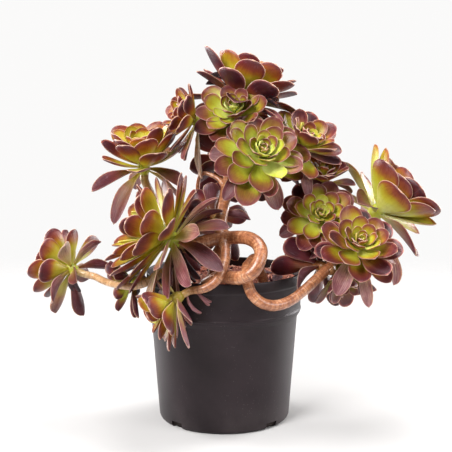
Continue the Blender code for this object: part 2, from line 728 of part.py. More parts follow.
def build_fallen_leaf(number, place, group, ground):
    """Lay a dry leaf on the soil, just clear of its highest lump."""
    x, y, turn, length = place
    spots = (0.0, 0.3, 0.65, 0.9, 1.0)
    work = bmesh.new()
    points = []
    for s in spots:
        half = 0.21 * length * MM * blade_outline(min(s, 0.97))
        curl = 0.10 * length * MM * (s - 0.45) ** 2 * 4
        for side, lift in ((1, 0.5 * half), (0, 0.8 * MM), (-1, 0.5 * half), (0, -0.4 * MM)):
            points.append(Vector((length * MM * (s - 0.5), side * half, curl + lift)))
    angle = math.radians(turn)
    here = Vector((x * MM, y * MM, 0.0))
    placed = [here + Vector((p.x * math.cos(angle) - p.y * math.sin(angle),
                             p.x * math.sin(angle) + p.y * math.cos(angle), p.z)) for p in points]
    hits = [ground.ray_cast(Vector((p.x, p.y, POT_HEIGHT)), Vector((0, 0, -1)))[0] for p in placed]
    rise = 2 * GAP - min(p.z - hit.z for p, hit in zip(placed, hits))
    corners = [work.verts.new(p + Vector((0, 0, rise))) for p in placed]
    for k in range(len(spots) - 1):
        a, b = 4 * k, 4 * k + 4
        for i in range(4):
            j = (i + 1) % 4
            if i % 2 == 0:
                work.faces.new((corners[a + i], corners[b + i], corners[b + j]))
                work.faces.new((corners[a + i], corners[b + j], corners[a + j]))
            else:
                work.faces.new((corners[a + i], corners[b + i], corners[a + j]))
                work.faces.new((corners[b + i], corners[b + j], corners[a + j]))
    work.faces.new(corners[:3])
    work.faces.new((corners[0], corners[2], corners[3]))
    last = corners[-4:]
    work.faces.new((last[0], last[2], last[1]))
    work.faces.new((last[0], last[3], last[2]))
    bmesh.ops.recalc_face_normals(work, faces=work.faces)
    mesh = bpy.data.meshes.new(f"fallen_leaf_{number}")
    work.to_mesh(mesh)
    work.free()
    return add_object(mesh.name, mesh, group, material("dry_leaf", (0.16, 0.07, 0.10), 0.7))


def main():
    """Build the whole plant in its pot."""
    clear_scene()
    plant = new_collection("potted_aeonium")
    notch_cutters = new_collection("notch_cutters")
    hole_cutters = new_collection("hole_cutters")
    soil = build_soil(plant, hole_cutters)
    ground = Surfaces()
    ground.add(soil)
    pieces = [build_fallen_leaf(number, place, plant, ground.tree())
              for number, place in enumerate(FALLEN_LEAVES, 1)]
    placed = Surfaces()
    for piece in [soil, build_pot(plant, notch_cutters), *pieces, *build_stems(plant)]:
        placed.add(piece)
    cores = {name: core_mesh(name) for name in ROSETTES}
    for name in ROSETTES:
        core = cores.pop(name)
        placed.add(build_rosette(name, core, plant, placed.tree(cores.values())))


main()
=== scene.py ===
"""Looks of the tree aeonium in its black nursery pot.

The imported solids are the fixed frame. Each of them is replaced by a finer
surface of the same form: cupped, spoon-shaped leaves that follow the solids'
own blades, ringed stems along the same routes, a turned pot and grainy soil.
Surfaces are worked out as whole arrays of points. Lengths are in metres.
"""
import logging
import math
from dataclasses import dataclass, field
from enum import Enum
from typing import NamedTuple

import bpy
import numpy as np
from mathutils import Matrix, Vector
from mathutils.kdtree import KDTree


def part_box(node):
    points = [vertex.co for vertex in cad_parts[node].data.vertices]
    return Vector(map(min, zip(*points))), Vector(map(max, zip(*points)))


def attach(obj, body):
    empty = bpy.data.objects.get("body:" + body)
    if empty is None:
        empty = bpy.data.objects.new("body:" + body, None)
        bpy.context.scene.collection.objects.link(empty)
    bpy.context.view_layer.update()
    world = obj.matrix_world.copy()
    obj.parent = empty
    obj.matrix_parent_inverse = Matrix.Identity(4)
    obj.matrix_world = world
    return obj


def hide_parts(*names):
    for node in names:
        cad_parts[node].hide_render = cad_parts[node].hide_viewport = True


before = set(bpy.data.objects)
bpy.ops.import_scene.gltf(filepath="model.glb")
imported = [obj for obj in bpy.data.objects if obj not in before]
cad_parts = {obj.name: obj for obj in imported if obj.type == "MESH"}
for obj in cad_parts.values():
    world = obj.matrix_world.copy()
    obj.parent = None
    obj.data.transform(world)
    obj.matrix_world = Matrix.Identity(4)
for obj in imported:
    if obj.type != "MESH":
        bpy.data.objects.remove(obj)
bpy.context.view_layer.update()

LOG = logging.getLogger("aeonium")
MM = 0.001
GAP = 0.3 * MM
BODY = "root"

Color = tuple[float, float, float]
Stops = tuple[tuple[float, Color], ...]


class Growth(Enum):
    """The record's finish that a rosette takes, by how much light it gets."""

    SUNLIT = "leaf_green_maroon"
    HANGING = "leaf_olive"
    SHADED = "leaf_maroon"


class Bark(Enum):
    """The record's finish that a stem takes."""

    COPPER = "copper_bark"
    TAN = "tan_bark"


# Shader helpers


class Value:
    """A shader socket that takes part in Python expressions."""

    def __init__(self, graph: "Graph", socket: bpy.types.NodeSocket) -> None:
        """Wrap a socket of a graph."""
        self.graph = graph
        self.socket = socket

    def _math(self, operation: str, *terms: "Value | float") -> "Value":
        """Add a Math node with an operation and its terms."""
        return self.graph.node("ShaderNodeMath", 0, {"operation": operation}, dict(enumerate(terms)))

    def __add__(self, other: "Value | float") -> "Value":
        """Add."""
        return self._math("ADD", self, other)

    def __radd__(self, other: float) -> "Value":
        """Add, from the right."""
        return self._math("ADD", other, self)

    def __sub__(self, other: "Value | float") -> "Value":
        """Subtract."""
        return self._math("SUBTRACT", self, other)

    def __rsub__(self, other: float) -> "Value":
        """Subtract from a number."""
        return self._math("SUBTRACT", other, self)

    def __mul__(self, other: "Value | float") -> "Value":
        """Multiply."""
        return self._math("MULTIPLY", self, other)

    def __rmul__(self, other: float) -> "Value":
        """Multiply, from the right."""
        return self._math("MULTIPLY", other, self)

    def step(self, low: float, high: float) -> "Value":
        """Rise smoothly from 0 at low to 1 at high, which may be the smaller of the two."""
        return self.graph.node(
            "ShaderNodeMapRange", "Result", {"interpolation_type": "SMOOTHSTEP"},
            {"Value": self, "From Min": low, "From Max": high})

    def ramp(self, stops: Stops) -> "Value":
        """Read a colour from a ramp of places from 0 to 1 and their colours."""
        return self.graph.node("ShaderNodeValToRGB", "Color", {"stops": stops}, {"Fac": self})


class Graph:
    """The node tree of a material or of the surroundings."""

    def __init__(self, owner: bpy.types.Material | bpy.types.World, surface: str) -> None:
        """Open a tree.

        Args:
            owner: the material or the surroundings that it belongs to.
            surface: the name of the node that takes the looks.
        """
        owner.use_nodes = True
        self.owner = owner
        self.tree = owner.node_tree
        self.surface = self.tree.nodes[surface]

    @classmethod
    def material(cls, name: str) -> "Graph":
        """Start a material."""
        return cls(bpy.data.materials.new(name), "Principled BSDF")

    def node(self, kind: str, output: str | int, settings: dict | None = None,
             inputs: dict | None = None) -> Value:
        """Add a node.

        Args:
            kind: the node's type.
            output: the output that is wanted, by name or place.
            settings: its properties. "stops" holds a ramp's places and colours.
            inputs: a number, a colour or a Value for each input, by name or place.

        Returns:
            The wanted output.
        """
        made = self.tree.nodes.new(kind)
        for key, value in (settings or {}).items():
            if key == "stops":
                self._set_stops(made.color_ramp, value)
            else:
                setattr(made, key, value)
        for key, value in (inputs or {}).items():
            self.feed(made.inputs[key], value)
        return Value(self, made.outputs[output])

    def _set_stops(self, ramp: bpy.types.ColorRamp, stops: Stops) -> None:
        """Give a ramp its stops.

        Args:
            ramp: the ramp.
            stops: places from 0 to 1 and their colours.
        """
        while len(ramp.elements) < len(stops):
            ramp.elements.new(1.0)
        for element, (place, color) in zip(ramp.elements, stops):
            element.position = place
            element.color = (*color, 1.0)

    def feed(self, socket: bpy.types.NodeSocket, value: "Value | float | Color") -> None:
        """Link a Value to an input, or set a number or colour on it.

        Args:
            socket: the input.
            value: what it takes.
        """
        if isinstance(value, Value):
            self.tree.links.new(value.socket, socket)
        elif isinstance(value, tuple) and len(socket.default_value) == 4:
            socket.default_value = (*value, 1.0)
        else:
            socket.default_value = value

    def place(self) -> Value:
        """Give the object coordinates."""
        return self.node("ShaderNodeTexCoord", "Object")

    def stretched(self, vector: Value, scale: Color) -> Value:
        """Scale a vector along its three axes."""
        return self.node("ShaderNodeVectorMath", 0, {"operation": "MULTIPLY"}, {0: vector, 1: scale})

    def parts(self, vector: Value) -> tuple[Value, Value, Value]:
        """Split a vector into its three numbers."""
        first = self.node("ShaderNodeSeparateXYZ", 0, None, {0: vector})
        return tuple(Value(self, socket) for socket in first.socket.node.outputs)

    def mark(self, name: str) -> Value:
        """Read a vector that the surface carries on its points."""
        return self.node("ShaderNodeAttribute", "Vector", {"attribute_name": name})

    def noise(self, vector: Value, scale: float, detail: float = 3.0, rough: float = 0.5) -> Value:
        """Read a soft noise from 0 to 1: lumps to a unit, finer layers and how strong those are."""
        return self.node("ShaderNodeTexNoise", "Fac", None, {
            "Vector": vector, "Scale": scale, "Detail": detail, "Roughness": rough})

    def cells(self, vector: Value, scale: float) -> Value:
        """Read the distance to the nearest of many scattered points."""
        return self.node("ShaderNodeTexVoronoi", "Distance", None, {"Vector": vector, "Scale": scale})

    def mix(self, share: "Value | float", first: "Value | Color", second: "Value | Color") -> Value:
        """Mix two colours by how much of the second there is."""
        return self.node("ShaderNodeMix", 2, {"data_type": "RGBA"}, {0: share, 6: first, 7: second})

    def bump(self, height: Value, strength: float, depth: float) -> Value:
        """Turn a height into a bumped normal. A height of 1 stands out by the depth in metres."""
        return self.node("ShaderNodeBump", "Normal", None, {
            "Strength": strength, "Distance": depth, "Height": height})

    def dress(self, **inputs: "Value | float | Color") -> bpy.types.Material | bpy.types.World:
        """Set the surface's inputs, with _ for the spaces in their names, and give the owner."""
        for key, value in inputs.items():
            self.feed(self.surface.inputs[key.replace("_", " ").title().replace("Ior", "IOR")], value)
        return self.owner


# Finishes


@dataclass(frozen=True)
class LeafFinish:
    """A fleshy leaf: green at its root and maroon at its tip, darker below.

    The surface marks give the place on the leaf (share of its length, across,
    and 1 above to -1 below), the leaf's life (ripeness, age past its prime, a
    draw of its own), the distance to the margin in millimetres, and how warm
    the rosette's reds are. A shrivelled leaf has an age past 1.
    """

    name: str
    stops: Stops = (
        (0.0, (0.68, 0.75, 0.24)), (0.20, (0.48, 0.53, 0.055)), (0.36, (0.33, 0.29, 0.018)),
        (0.48, (0.25, 0.130, 0.024)), (0.60, (0.19, 0.058, 0.032)), (0.78, (0.105, 0.018, 0.022)),
        (1.0, (0.045, 0.007, 0.013)),
    )
    warm_stops: Stops = (
        (0.0, (0.70, 0.68, 0.16)), (0.17, (0.54, 0.48, 0.038)), (0.33, (0.44, 0.30, 0.012)),
        (0.46, (0.37, 0.130, 0.011)), (0.59, (0.24, 0.042, 0.015)), (0.76, (0.125, 0.014, 0.016)),
        (1.0, (0.050, 0.007, 0.013)),
    )
    aged: Stops = (
        (0.0, (0.055, 0.008, 0.013)), (0.38, (0.12, 0.024, 0.032)), (0.68, (0.23, 0.080, 0.090)),
        (0.90, (0.40, 0.22, 0.20)), (1.0, (0.54, 0.40, 0.26)),
    )
    margin: Color = (0.66, 0.44, 0.33)
    lips: Color = (0.32, 0.095, 0.090)
    shade: Color = (0.075, 0.012, 0.012)
    # Painted sheen: the pale bluish colour that stands in for the leaves' glossy highlights
    painted_sheen: Color = (0.62, 0.46, 0.54)
    fleck: Color = (0.12, 0.055, 0.02)
    shrivelled: Color = (0.016, 0.009, 0.012)
    below_shift: float = 0.18
    relief: float = 0.6 * MM

    def build(self) -> bpy.types.Material:
        """Make the leaf material.

        Returns:
            The material.
        """
        graph = Graph.material(self.name)
        spot = graph.mark("leaf_place")
        along, _, side = graph.parts(spot)
        ripe, old, draw = graph.parts(graph.mark("leaf_life"))
        rim, warm, _ = graph.parts(graph.mark("leaf_rim"))
        place = graph.place()
        patch = graph.noise(place, 55.0, 3.0, 0.55)
        powder = graph.noise(place, 130.0, 4.0, 0.65)
        streaks = graph.noise(graph.stretched(spot, (2.2, 9.0, 1.0)), 1.6, 3.0, 0.6)
        # Blush: from green at the root to maroon at the tip and the rim, stronger below
        below = side.step(0.25, -0.25)
        tip = along.step(0.42, 1.02)
        grown = ripe.step(0.0, 0.22)
        tinge = tip * (0.22 + self.below_shift * below) * (0.35 + 0.65 * grown)
        blush = ripe * (0.45 + 0.60 * tip) + tinge + (patch - 0.5) * 0.34
        blush = blush + rim.step(5.5, 0.0) * 0.20 * along.step(0.3, 0.8) * grown
        color = graph.mix(warm, blush.ramp(self.stops), blush.ramp(self.warm_stops))
        # Red lips round the tip, then the browning of leaves past their prime
        lips = rim.step(4.0, 0.2) * along.step(0.30, 0.72) * (0.25 + 0.9 * ripe) * (1.0 - 0.6 * below)
        color = graph.mix(lips * grown, color, self.lips)
        faded = draw + (patch - 0.5) * 0.6 + (streaks - 0.5) * 0.9 + (0.75 - along) * 0.5
        fading = old.step(0.05, 0.50) * along.step(0.05, 0.50) * 0.88
        color = graph.mix(fading, color, faded.ramp(self.aged))
        # Dark mottle, a painted sheen of pale patches (weaker below), brown flecks, a worn rim and the
        # shrivelled leaves
        mottle = (0.6 * streaks + 0.4 * powder).step(0.52, 0.38) * (0.10 + 0.34 * blush.step(0.2, 0.7))
        color = graph.mix(mottle, color, self.shade)
        # Painted sheen: pale bluish patches on the redder leaves, weaker on the undersides, stand in for
        # highlights
        sheen_patches = (streaks * powder).step(0.27, 0.46) * (0.03 + 0.15 * blush.step(0.45, 0.8))
        color = graph.mix(sheen_patches * (1.0 - 0.4 * below), color, self.painted_sheen)
        flecks = graph.cells(place, 620.0).step(0.22, 0.12) * patch.step(0.50, 0.66) * 0.55
        color = graph.mix(flecks, color, self.fleck)
        edge = rim.step(0.90, 0.15) * (0.60 - 0.30 * old) * (0.30 + 0.70 * grown)
        color = graph.mix(edge, color, self.margin)
        color = graph.mix(old.step(1.1, 1.6) * (0.80 + 0.35 * (patch - 0.5)), color, self.shrivelled)
        veins = graph.noise(graph.stretched(spot, (1.2, 11.0, 0.5)), 2.0, 2.0, 0.5)
        height = veins * (0.55 + 0.7 * old) + powder * 0.25
        height = height + graph.noise(place, 900.0, 2.0) * (0.15 + 0.4 * old)
        return graph.dress(
            base_color=color, roughness=0.30 + 0.18 * powder + 0.14 * old,
            normal=graph.bump(height, 0.45, self.relief), specular_ior_level=0.36,
            subsurface_weight=0.18, subsurface_radius=(1.0, 0.55, 0.20), subsurface_scale=3.0 * MM)


@dataclass(frozen=True)
class BarkFinish:
    """A smooth bare stem with ring scars, copper or tan, and green near its tip.

    The surface marks give the length along the stem in metres, how near the
    spot is to the growing tip, how far a ring stands out, and the way round.
    """

    name: str
    stops: Stops
    green: Color
    scar: Color
    relief: float = 0.6 * MM

    def build(self) -> bpy.types.Material:
        """Make the bark material.

        Returns:
            The material.
        """
        graph = Graph.material(self.name)
        along, young, ring = graph.parts(graph.mark("stem_place"))
        place = graph.place()
        blotch = graph.noise(place, 70.0, 4.0, 0.6)
        grain = graph.noise(place, 480.0, 3.0, 0.6)
        streak = graph.noise(graph.stretched(graph.mark("stem_round"), (60.0, 7.0, 7.0)), 1.0, 3.0, 0.6)
        wander = graph.node("ShaderNodeCombineXYZ", 0, None, {0: along * 1000.0 + 2.6 * blotch})
        scars = graph.node("ShaderNodeTexWave", "Fac", {"wave_type": "BANDS", "bands_direction": "X"}, {
            "Vector": wander, "Scale": 0.062, "Distortion": 1.4, "Detail": 2.0, "Detail Scale": 1.5})
        tone = 0.50 * blotch + 0.25 * grain + 0.30 * streak + 0.05 * ring
        color = tone.step(0.28, 0.78).ramp(self.stops)
        color = graph.mix(scars.step(0.84, 0.99) * blotch.step(0.41, 0.59) * 0.58, color, self.scar)
        color = graph.mix(young * (0.55 + 0.5 * blotch), color, self.green)
        height = 0.30 * scars + 0.30 * grain + 0.35 * streak
        return graph.dress(
            base_color=color, roughness=0.28 + 0.22 * grain,
            normal=graph.bump(height, 0.40, self.relief), coat_weight=0.55, coat_roughness=0.27)


@dataclass(frozen=True)
class PlasticFinish:
    """Thin moulded black plastic: an even sheen, faint flow lines, dust and scuffs."""

    name: str = "nursery_plastic"
    dark: Color = (0.0075, 0.0050, 0.0060)
    light: Color = (0.016, 0.011, 0.013)
    dust: Color = (0.20, 0.17, 0.165)
    relief: float = 0.3 * MM

    def build(self) -> bpy.types.Material:
        """Make the pot's material.

        Returns:
            The material.
        """
        graph = Graph.material(self.name)
        place = graph.place()
        _, _, height = graph.parts(place)
        cloud = graph.noise(place, 14.0, 4.0, 0.55)
        flow = graph.noise(graph.stretched(place, (26.0, 26.0, 420.0)), 1.0, 3.0, 0.5)
        grain = graph.noise(place, 1500.0, 2.0, 0.6)
        scratch = graph.noise(graph.stretched(place, (900.0, 900.0, 30.0)), 1.0, 2.0, 0.4)
        speck = graph.cells(place, 260.0).step(0.16, 0.05) * cloud.step(0.48, 0.62)
        color = graph.mix(cloud.step(0.3, 0.7), self.dark, self.light)
        settled = height.step(0.05, 0.0) * 0.10 + height.step(0.150, 0.170) * 0.05
        dust = settled * cloud.step(0.35, 0.65) + 0.30 * speck + scratch.step(0.70, 0.80) * 0.10
        color = graph.mix(dust, color, self.dust)
        bumps = 0.5 * flow + 0.4 * grain + 0.2 * scratch
        return graph.dress(
            base_color=color, roughness=0.40 + 0.14 * cloud + 0.6 * dust,
            normal=graph.bump(bumps, 0.35, self.relief), specular_ior_level=0.30,
            specular_tint=(1.0, 0.86, 0.90))


@dataclass(frozen=True)
class SoilFinish:
    """Potting mix of bark crumbs, reddish brown with dark and pale grains, with painted shade lower down.
    """

    name: str = "potting_mix"
    stops: Stops = (
        (0.0, (0.020, 0.008, 0.014)), (0.22, (0.085, 0.026, 0.040)), (0.42, (0.34, 0.115, 0.085)),
        (0.64, (0.62, 0.24, 0.155)), (0.84, (0.70, 0.36, 0.26)), (1.0, (0.80, 0.56, 0.44)),
    )
    # Painted shade: the colour that the soil turns lower down, and the heights over which it does
    painted_shade: Color = (0.020, 0.012, 0.010)
    shade_from: float = 0.155
    shade_to: float = 0.120
    relief: float = 1.2 * MM

    def build(self) -> bpy.types.Material:
        """Make the soil material.

        Returns:
            The material.
        """
        graph = Graph.material(self.name)
        draw, _, _ = graph.parts(graph.mark("crumb"))
        place = graph.place()
        lumps = graph.noise(place, 160.0, 5.0, 0.7)
        grit = graph.noise(place, 900.0, 3.0, 0.7)
        color = (0.35 * lumps + 0.25 * grit + 0.55 * draw).step(0.12, 0.95).ramp(self.stops)
        _, _, height = graph.parts(place)
        # Painted shade: the soil is darker lower down, inside the pot, where it shows through the notches
        color = graph.mix(height.step(self.shade_from, self.shade_to), color, self.painted_shade)
        return graph.dress(
            base_color=color, roughness=0.72 + 0.2 * grit,
            normal=graph.bump(lumps + 0.6 * grit, 0.9, self.relief), specular_ior_level=0.3)


@dataclass(frozen=True)
class DryLeafFinish:
    """A dry fallen leaf: papery purple-brown with paler ribs."""

    name: str = "dry_leaf"
    stops: Stops = (
        (0.0, (0.028, 0.010, 0.014)), (0.45, (0.105, 0.038, 0.052)), (0.75, (0.20, 0.095, 0.10)),
        (1.0, (0.38, 0.22, 0.18)),
    )
    relief: float = 1.0 * MM

    def build(self) -> bpy.types.Material:
        """Make the dry leaf's material.

        Returns:
            The material.
        """
        graph = Graph.material(self.name)
        place = graph.place()
        cloud = graph.noise(place, 90.0, 4.0, 0.6)
        ribs = graph.noise(graph.stretched(graph.mark("leaf_place"), (1.5, 9.0, 0.5)), 2.0, 3.0, 0.6)
        color = (0.6 * cloud + 0.5 * ribs).step(0.30, 0.80).ramp(self.stops)
        return graph.dress(
            base_color=color, roughness=0.55 + 0.2 * cloud,
            normal=graph.bump(ribs + 0.5 * cloud, 0.8, self.relief))


@dataclass(frozen=True)
class FloorFinish:
    """Pale matt floor with a very faint mottle, which fades into the backdrop all round."""

    name: str = "pale_floor"
    low: Color = (0.515, 0.505, 0.50)
    high: Color = (0.55, 0.542, 0.538)
    fades_from: float = 0.30
    fades_out: float = 1.30

    def build(self) -> bpy.types.Material:
        """Make the floor's material.

        Returns:
            The material.
        """
        graph = Graph.material(self.name)
        place = graph.place()
        cloud = graph.noise(place, 3.0, 4.0, 0.5)
        x, y, _ = graph.parts(place)
        return graph.dress(
            base_color=graph.mix(cloud, self.low, self.high), roughness=0.62 + 0.1 * cloud,
            alpha=(x * x + y * y).step(self.fades_out ** 2, self.fades_from ** 2),
            specular_ior_level=0.25)


# Surfaces


@dataclass
class Surface:
    """Closed shells: their points, faces with four and three corners, and marks."""

    points: np.ndarray
    quads: np.ndarray
    triangles: np.ndarray
    marks: dict[str, np.ndarray] = field(default_factory=dict)

    def joined(self, *others: "Surface") -> "Surface":
        """Put several surfaces into one.

        Args:
            others: the surfaces to add. Marks that one lacks are 0 on it.

        Returns:
            The surfaces together.
        """
        every = (self, *others)
        starts = np.cumsum([0] + [len(one.points) for one in every[:-1]])
        names = sorted({name for one in every for name in one.marks})
        return Surface(
            np.concatenate([one.points for one in every]),
            np.concatenate([one.quads + start for one, start in zip(every, starts)]),
            np.concatenate([one.triangles + start for one, start in zip(every, starts)]),
            {name: np.concatenate([one.marks.get(name, np.zeros((len(one.points), 3))) for one in every])
             for name in names})

    def outward(self) -> "Surface":
        """Turn the faces round if the volume they close comes out negative.

        Returns:
            The surface with its faces outwards.
        """
        corners = np.concatenate([self.quads[:, :3], self.quads[:, [0, 2, 3]], self.triangles])
        a, b, c = (self.points[corners[:, i]] for i in range(3))
        if np.einsum("ij,ij->", a, np.cross(b, c)) < 0:
            return Surface(self.points, self.quads[:, ::-1], self.triangles[:, ::-1], self.marks)
        return self

    def mesh(self, name: str) -> bpy.types.Mesh:
        """Fill a smooth mesh with the surface and its marks.

        Args:
            name: the mesh's name.

        Returns:
            The mesh.
        """
        mesh = bpy.data.meshes.new(name)
        mesh.vertices.add(len(self.points))
        mesh.vertices.foreach_set("co", self.points.ravel())
        corners = np.concatenate([self.quads.ravel(), self.triangles.ravel()])
        sizes = np.concatenate([np.full(len(self.quads), 4), np.full(len(self.triangles), 3)])
        mesh.loops.add(len(corners))
        mesh.loops.foreach_set("vertex_index", corners)
        mesh.polygons.add(len(sizes))
        mesh.polygons.foreach_set("loop_start", np.cumsum(sizes) - sizes)
        mesh.update(calc_edges=True)
        mesh.shade_smooth()
        for key, values in self.marks.items():
            mark = mesh.attributes.new(key, "FLOAT_VECTOR", "POINT")
            mark.data.foreach_set("vector", np.ascontiguousarray(values, dtype=np.float32).ravel())
        return mesh


def shells(rings: np.ndarray, tail: np.ndarray, head: np.ndarray,
           marks: dict[str, np.ndarray] | None = None) -> Surface:
    """Close rings of points into shells.

    Quads join each ring to the next, and fans join the first and last ring to
    the shell's two poles.

    Args:
        rings: points by shell, ring, place on the ring and axis.
        tail: each shell's pole before its first ring.
        head: each shell's pole after its last ring.
        marks: three numbers for each point of the rings. A pole gets its ring's mean.

    Returns:
        The shells as one surface.
    """
    count, length, around = rings.shape[:3]
    here = np.arange(around)
    after = (here + 1) % around
    steps = np.arange(length - 1)[:, None] * around
    quads = np.stack([steps + here, steps + after, steps + around + after, steps + around + here], -1)
    last, poles = (length - 1) * around, length * around
    triangles = np.concatenate([
        np.stack([after, here, np.full(around, poles)], -1),
        np.stack([last + here, last + after, np.full(around, poles + 1)], -1)])
    offset = (length * around + 2) * np.arange(count)[:, None, None]

    def gather(values: np.ndarray, first: np.ndarray, final: np.ndarray) -> np.ndarray:
        """Lay out the rings' values with the poles' after them."""
        flat = values.reshape(count, -1, 3)
        return np.concatenate([flat, first[:, None], final[:, None]], axis=1).reshape(-1, 3)

    return Surface(
        gather(rings, tail, head), (quads.reshape(-1, 4) + offset).reshape(-1, 4),
        (triangles + offset).reshape(-1, 3),
        {key: gather(v, v[:, 0].mean(1), v[:, -1].mean(1)) for key, v in (marks or {}).items()})


def angles(count: int) -> np.ndarray:
    """Share a full turn into even angles."""
    return math.tau * np.arange(count) / count


def triple(shape: tuple[int, ...], *values: np.ndarray | float) -> np.ndarray:
    """Spread three values over a shape and lay them side by side."""
    return np.stack([np.broadcast_to(value, shape) for value in values], -1)


def square_to(axis: np.ndarray) -> tuple[np.ndarray, np.ndarray]:
    """Find two unit vectors that are square to an axis and to each other.

    Args:
        axis: a unit vector that isn't upright.

    Returns:
        The level one, and the one square to it.
    """
    side = np.cross(axis, (0.0, 0.0, 1.0))
    side /= np.linalg.norm(side)
    return side, np.cross(axis, side)


def lathe(profile: np.ndarray, steps: int) -> Surface:
    """Turn a profile round the Z axis.

    A point at radius r and height z becomes (r cos a, r sin a, z) for each of
    the even angles a. The profile's two ends lie on the axis.

    Args:
        profile: radius and height of each point.
        steps: how many angles there are.

    Returns:
        The turned surface.
    """
    angle = angles(steps)
    radius, height = profile[1:-1, 0, None], profile[1:-1, 1, None]
    rings = triple((1, len(radius), steps), radius * np.cos(angle), radius * np.sin(angle), height)
    ends = [np.array([[0.0, 0.0, profile[i, 1]]]) for i in (0, -1)]
    return shells(rings, *ends).outward()


def rounded(profile: list[tuple[float, float]], radius: float, steps: int = 3) -> np.ndarray:
    """Round the corners of a profile.

    Each corner becomes the curve of second degree that starts and ends the same
    distance before and after it, on its two sides.

    Args:
        profile: radius and height of each point.
        radius: the distance, at most 0.4 of either side.
        steps: how many points the curve adds.

    Returns:
        The rounded profile.
    """
    points = np.array(profile)
    before, after = points[:-2] - points[1:-1], points[2:] - points[1:-1]
    cut = [np.minimum(radius, 0.4 * np.linalg.norm(v, axis=1))[:, None] for v in (before, after)]
    start = points[1:-1] + before * cut[0] / np.linalg.norm(before, axis=1)[:, None]
    stop = points[1:-1] + after * cut[1] / np.linalg.norm(after, axis=1)[:, None]
    t = np.linspace(0, 1, steps)[None, :, None]
    curve = (1 - t) ** 2 * start[:, None] + 2 * t * (1 - t) * points[1:-1, None] + t ** 2 * stop[:, None]
    return np.vstack([points[:1], curve.reshape(-1, 2), points[-1:]])


def smooth_step(x: np.ndarray | float) -> np.ndarray:
    """Rise smoothly from 0 to 1 as x goes from 0 to 1: x squared times 3 less 2 x."""
    x = np.clip(x, 0.0, 1.0)
    return x * x * (3 - 2 * x)


def placed(name: str, data: bpy.types.ID) -> bpy.types.Object:
    """Put a mesh, a lamp or a camera into the scene.

    Args:
        name: the object's name.
        data: what it holds.

    Returns:
        The object.
    """
    thing = bpy.data.objects.new(name, data)
    bpy.context.scene.collection.objects.link(thing)
    return thing


def add_piece(name: str, mesh: bpy.types.Mesh, finish: bpy.types.Material, slot: str,
              *nodes: str) -> bpy.types.Object:
    """Show a mesh in place of solids and report it.

    Args:
        name: the piece's name.
        mesh: its mesh, in place.
        finish: its material.
        slot: the record's material slot; not used.
        nodes: the solids that it stands for.

    Returns:
        The piece.
    """
    mesh.materials.append(finish)
    piece = placed(name, mesh)
    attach(piece, BODY)
    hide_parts(*nodes)
    LOG.info("%s: %d faces, for %s", name, len(mesh.polygons), ", ".join(nodes))
    return piece


# Leaves: lengths are shares of a rosette's longest leaf unless they say MM

GOLDEN_ANGLE = math.radians(137.508)
LEAF_ZONE = 0.34
CORE_RADIUS = 0.125
CORE_FOOT = 7.0 * MM
STEM_NECK = 9.0 * MM
WIDEST_AT = 0.73
ROOT_WIDTH = 0.13
BLADE_THICKNESS = 1.3 * MM
BLADE_CUP = 0.20
CUP_RISE = 2.5
YOUNGEST_LENGTH = 0.22
FULL_LENGTH_AGE = 0.7
YOUNG_WIDTH, FIRM_THINS, OLD_THINS = 1.14, 0.14, 0.28
ROOT_POWER = 1.2
# How much leaves differ in length, turn, tilt, bend and twist
SPREADS = (0.05, 0.10, 4.0, 6.0, 0.14)
OLD_BEND = 16.0
# How far a solid's blade may be tilted to stand clear, and its scale then
BENDS = (
    (0, 1.0), (8, 1.0), (-8, 1.0), (16, 0.95), (-16, 0.95), (0, 0.85), (24, 0.9),
    (-24, 0.9), (0, 0.7), (12, 0.75), (-12, 0.75), (-32, 0.85), (32, 0.85), (0, 0.55),
)
PROBES = (0.50, 0.85)
MATCH = 0.05 * MM
# The stem's end under the leaves: its rings' widths, and heights as shares of foot and leaf zone
CORE_WIDTHS = (0.64, 1.0, 0.95, 0.60, 0.30)
CORE_FEET = (-1.0, -0.3, 0.0, 0.0, 0.0)
CORE_ZONES = (0.0, 0.0, 0.35, 0.8, 1.05)
# Ripeness is 0 for green and 1 for maroon
RIPE_SPREAD = 0.09
NEAR_BLACK = 0.75
# Painted shade: how much riper and darker the leaves that a row lists as lying in shade are made
SHADE_PAINTED_RIPE, SHADE_PAINTED_DRAW = 0.7, -0.8
SHRIVELLED_RIPE, SHRIVELLED_AGE = 1.4, 1.8


class Rosette(NamedTuple):
    """Where a rosette sits and how its leaves grow, in millimetres and degrees.

    The fields up to hang are those of the solids. ripe is how maroon the
    youngest and the oldest firm leaf are, and dusky numbers the leaves that
    lie in shade, painted dark all over as painted shade. withered lists the
    shrivelled leaves that cling below: each one's turn, tilt, length over the
    rosette's and place down the stem. dark is the share of leaves that turn
    nearly black, warm is how orange the rosette's reds are, and pale is how
    much its old leaves have bleached.
    """

    base: tuple
    facing: tuple
    length: float
    leaves: int
    blades: int
    tilt: tuple
    old: int
    opening: float = 1.1
    curl: tuple = (-40, -16)
    width: float = 0.52
    sag: float = 0.06
    hang: float = 0.25
    growth: Growth = Growth.SUNLIT
    ripe: tuple = (0.10, 0.70)
    shade_painted: tuple = ()
    withered: tuple = ()
    dark: float = 0.10
    warm: float = 0.2
    pale: float = -0.12


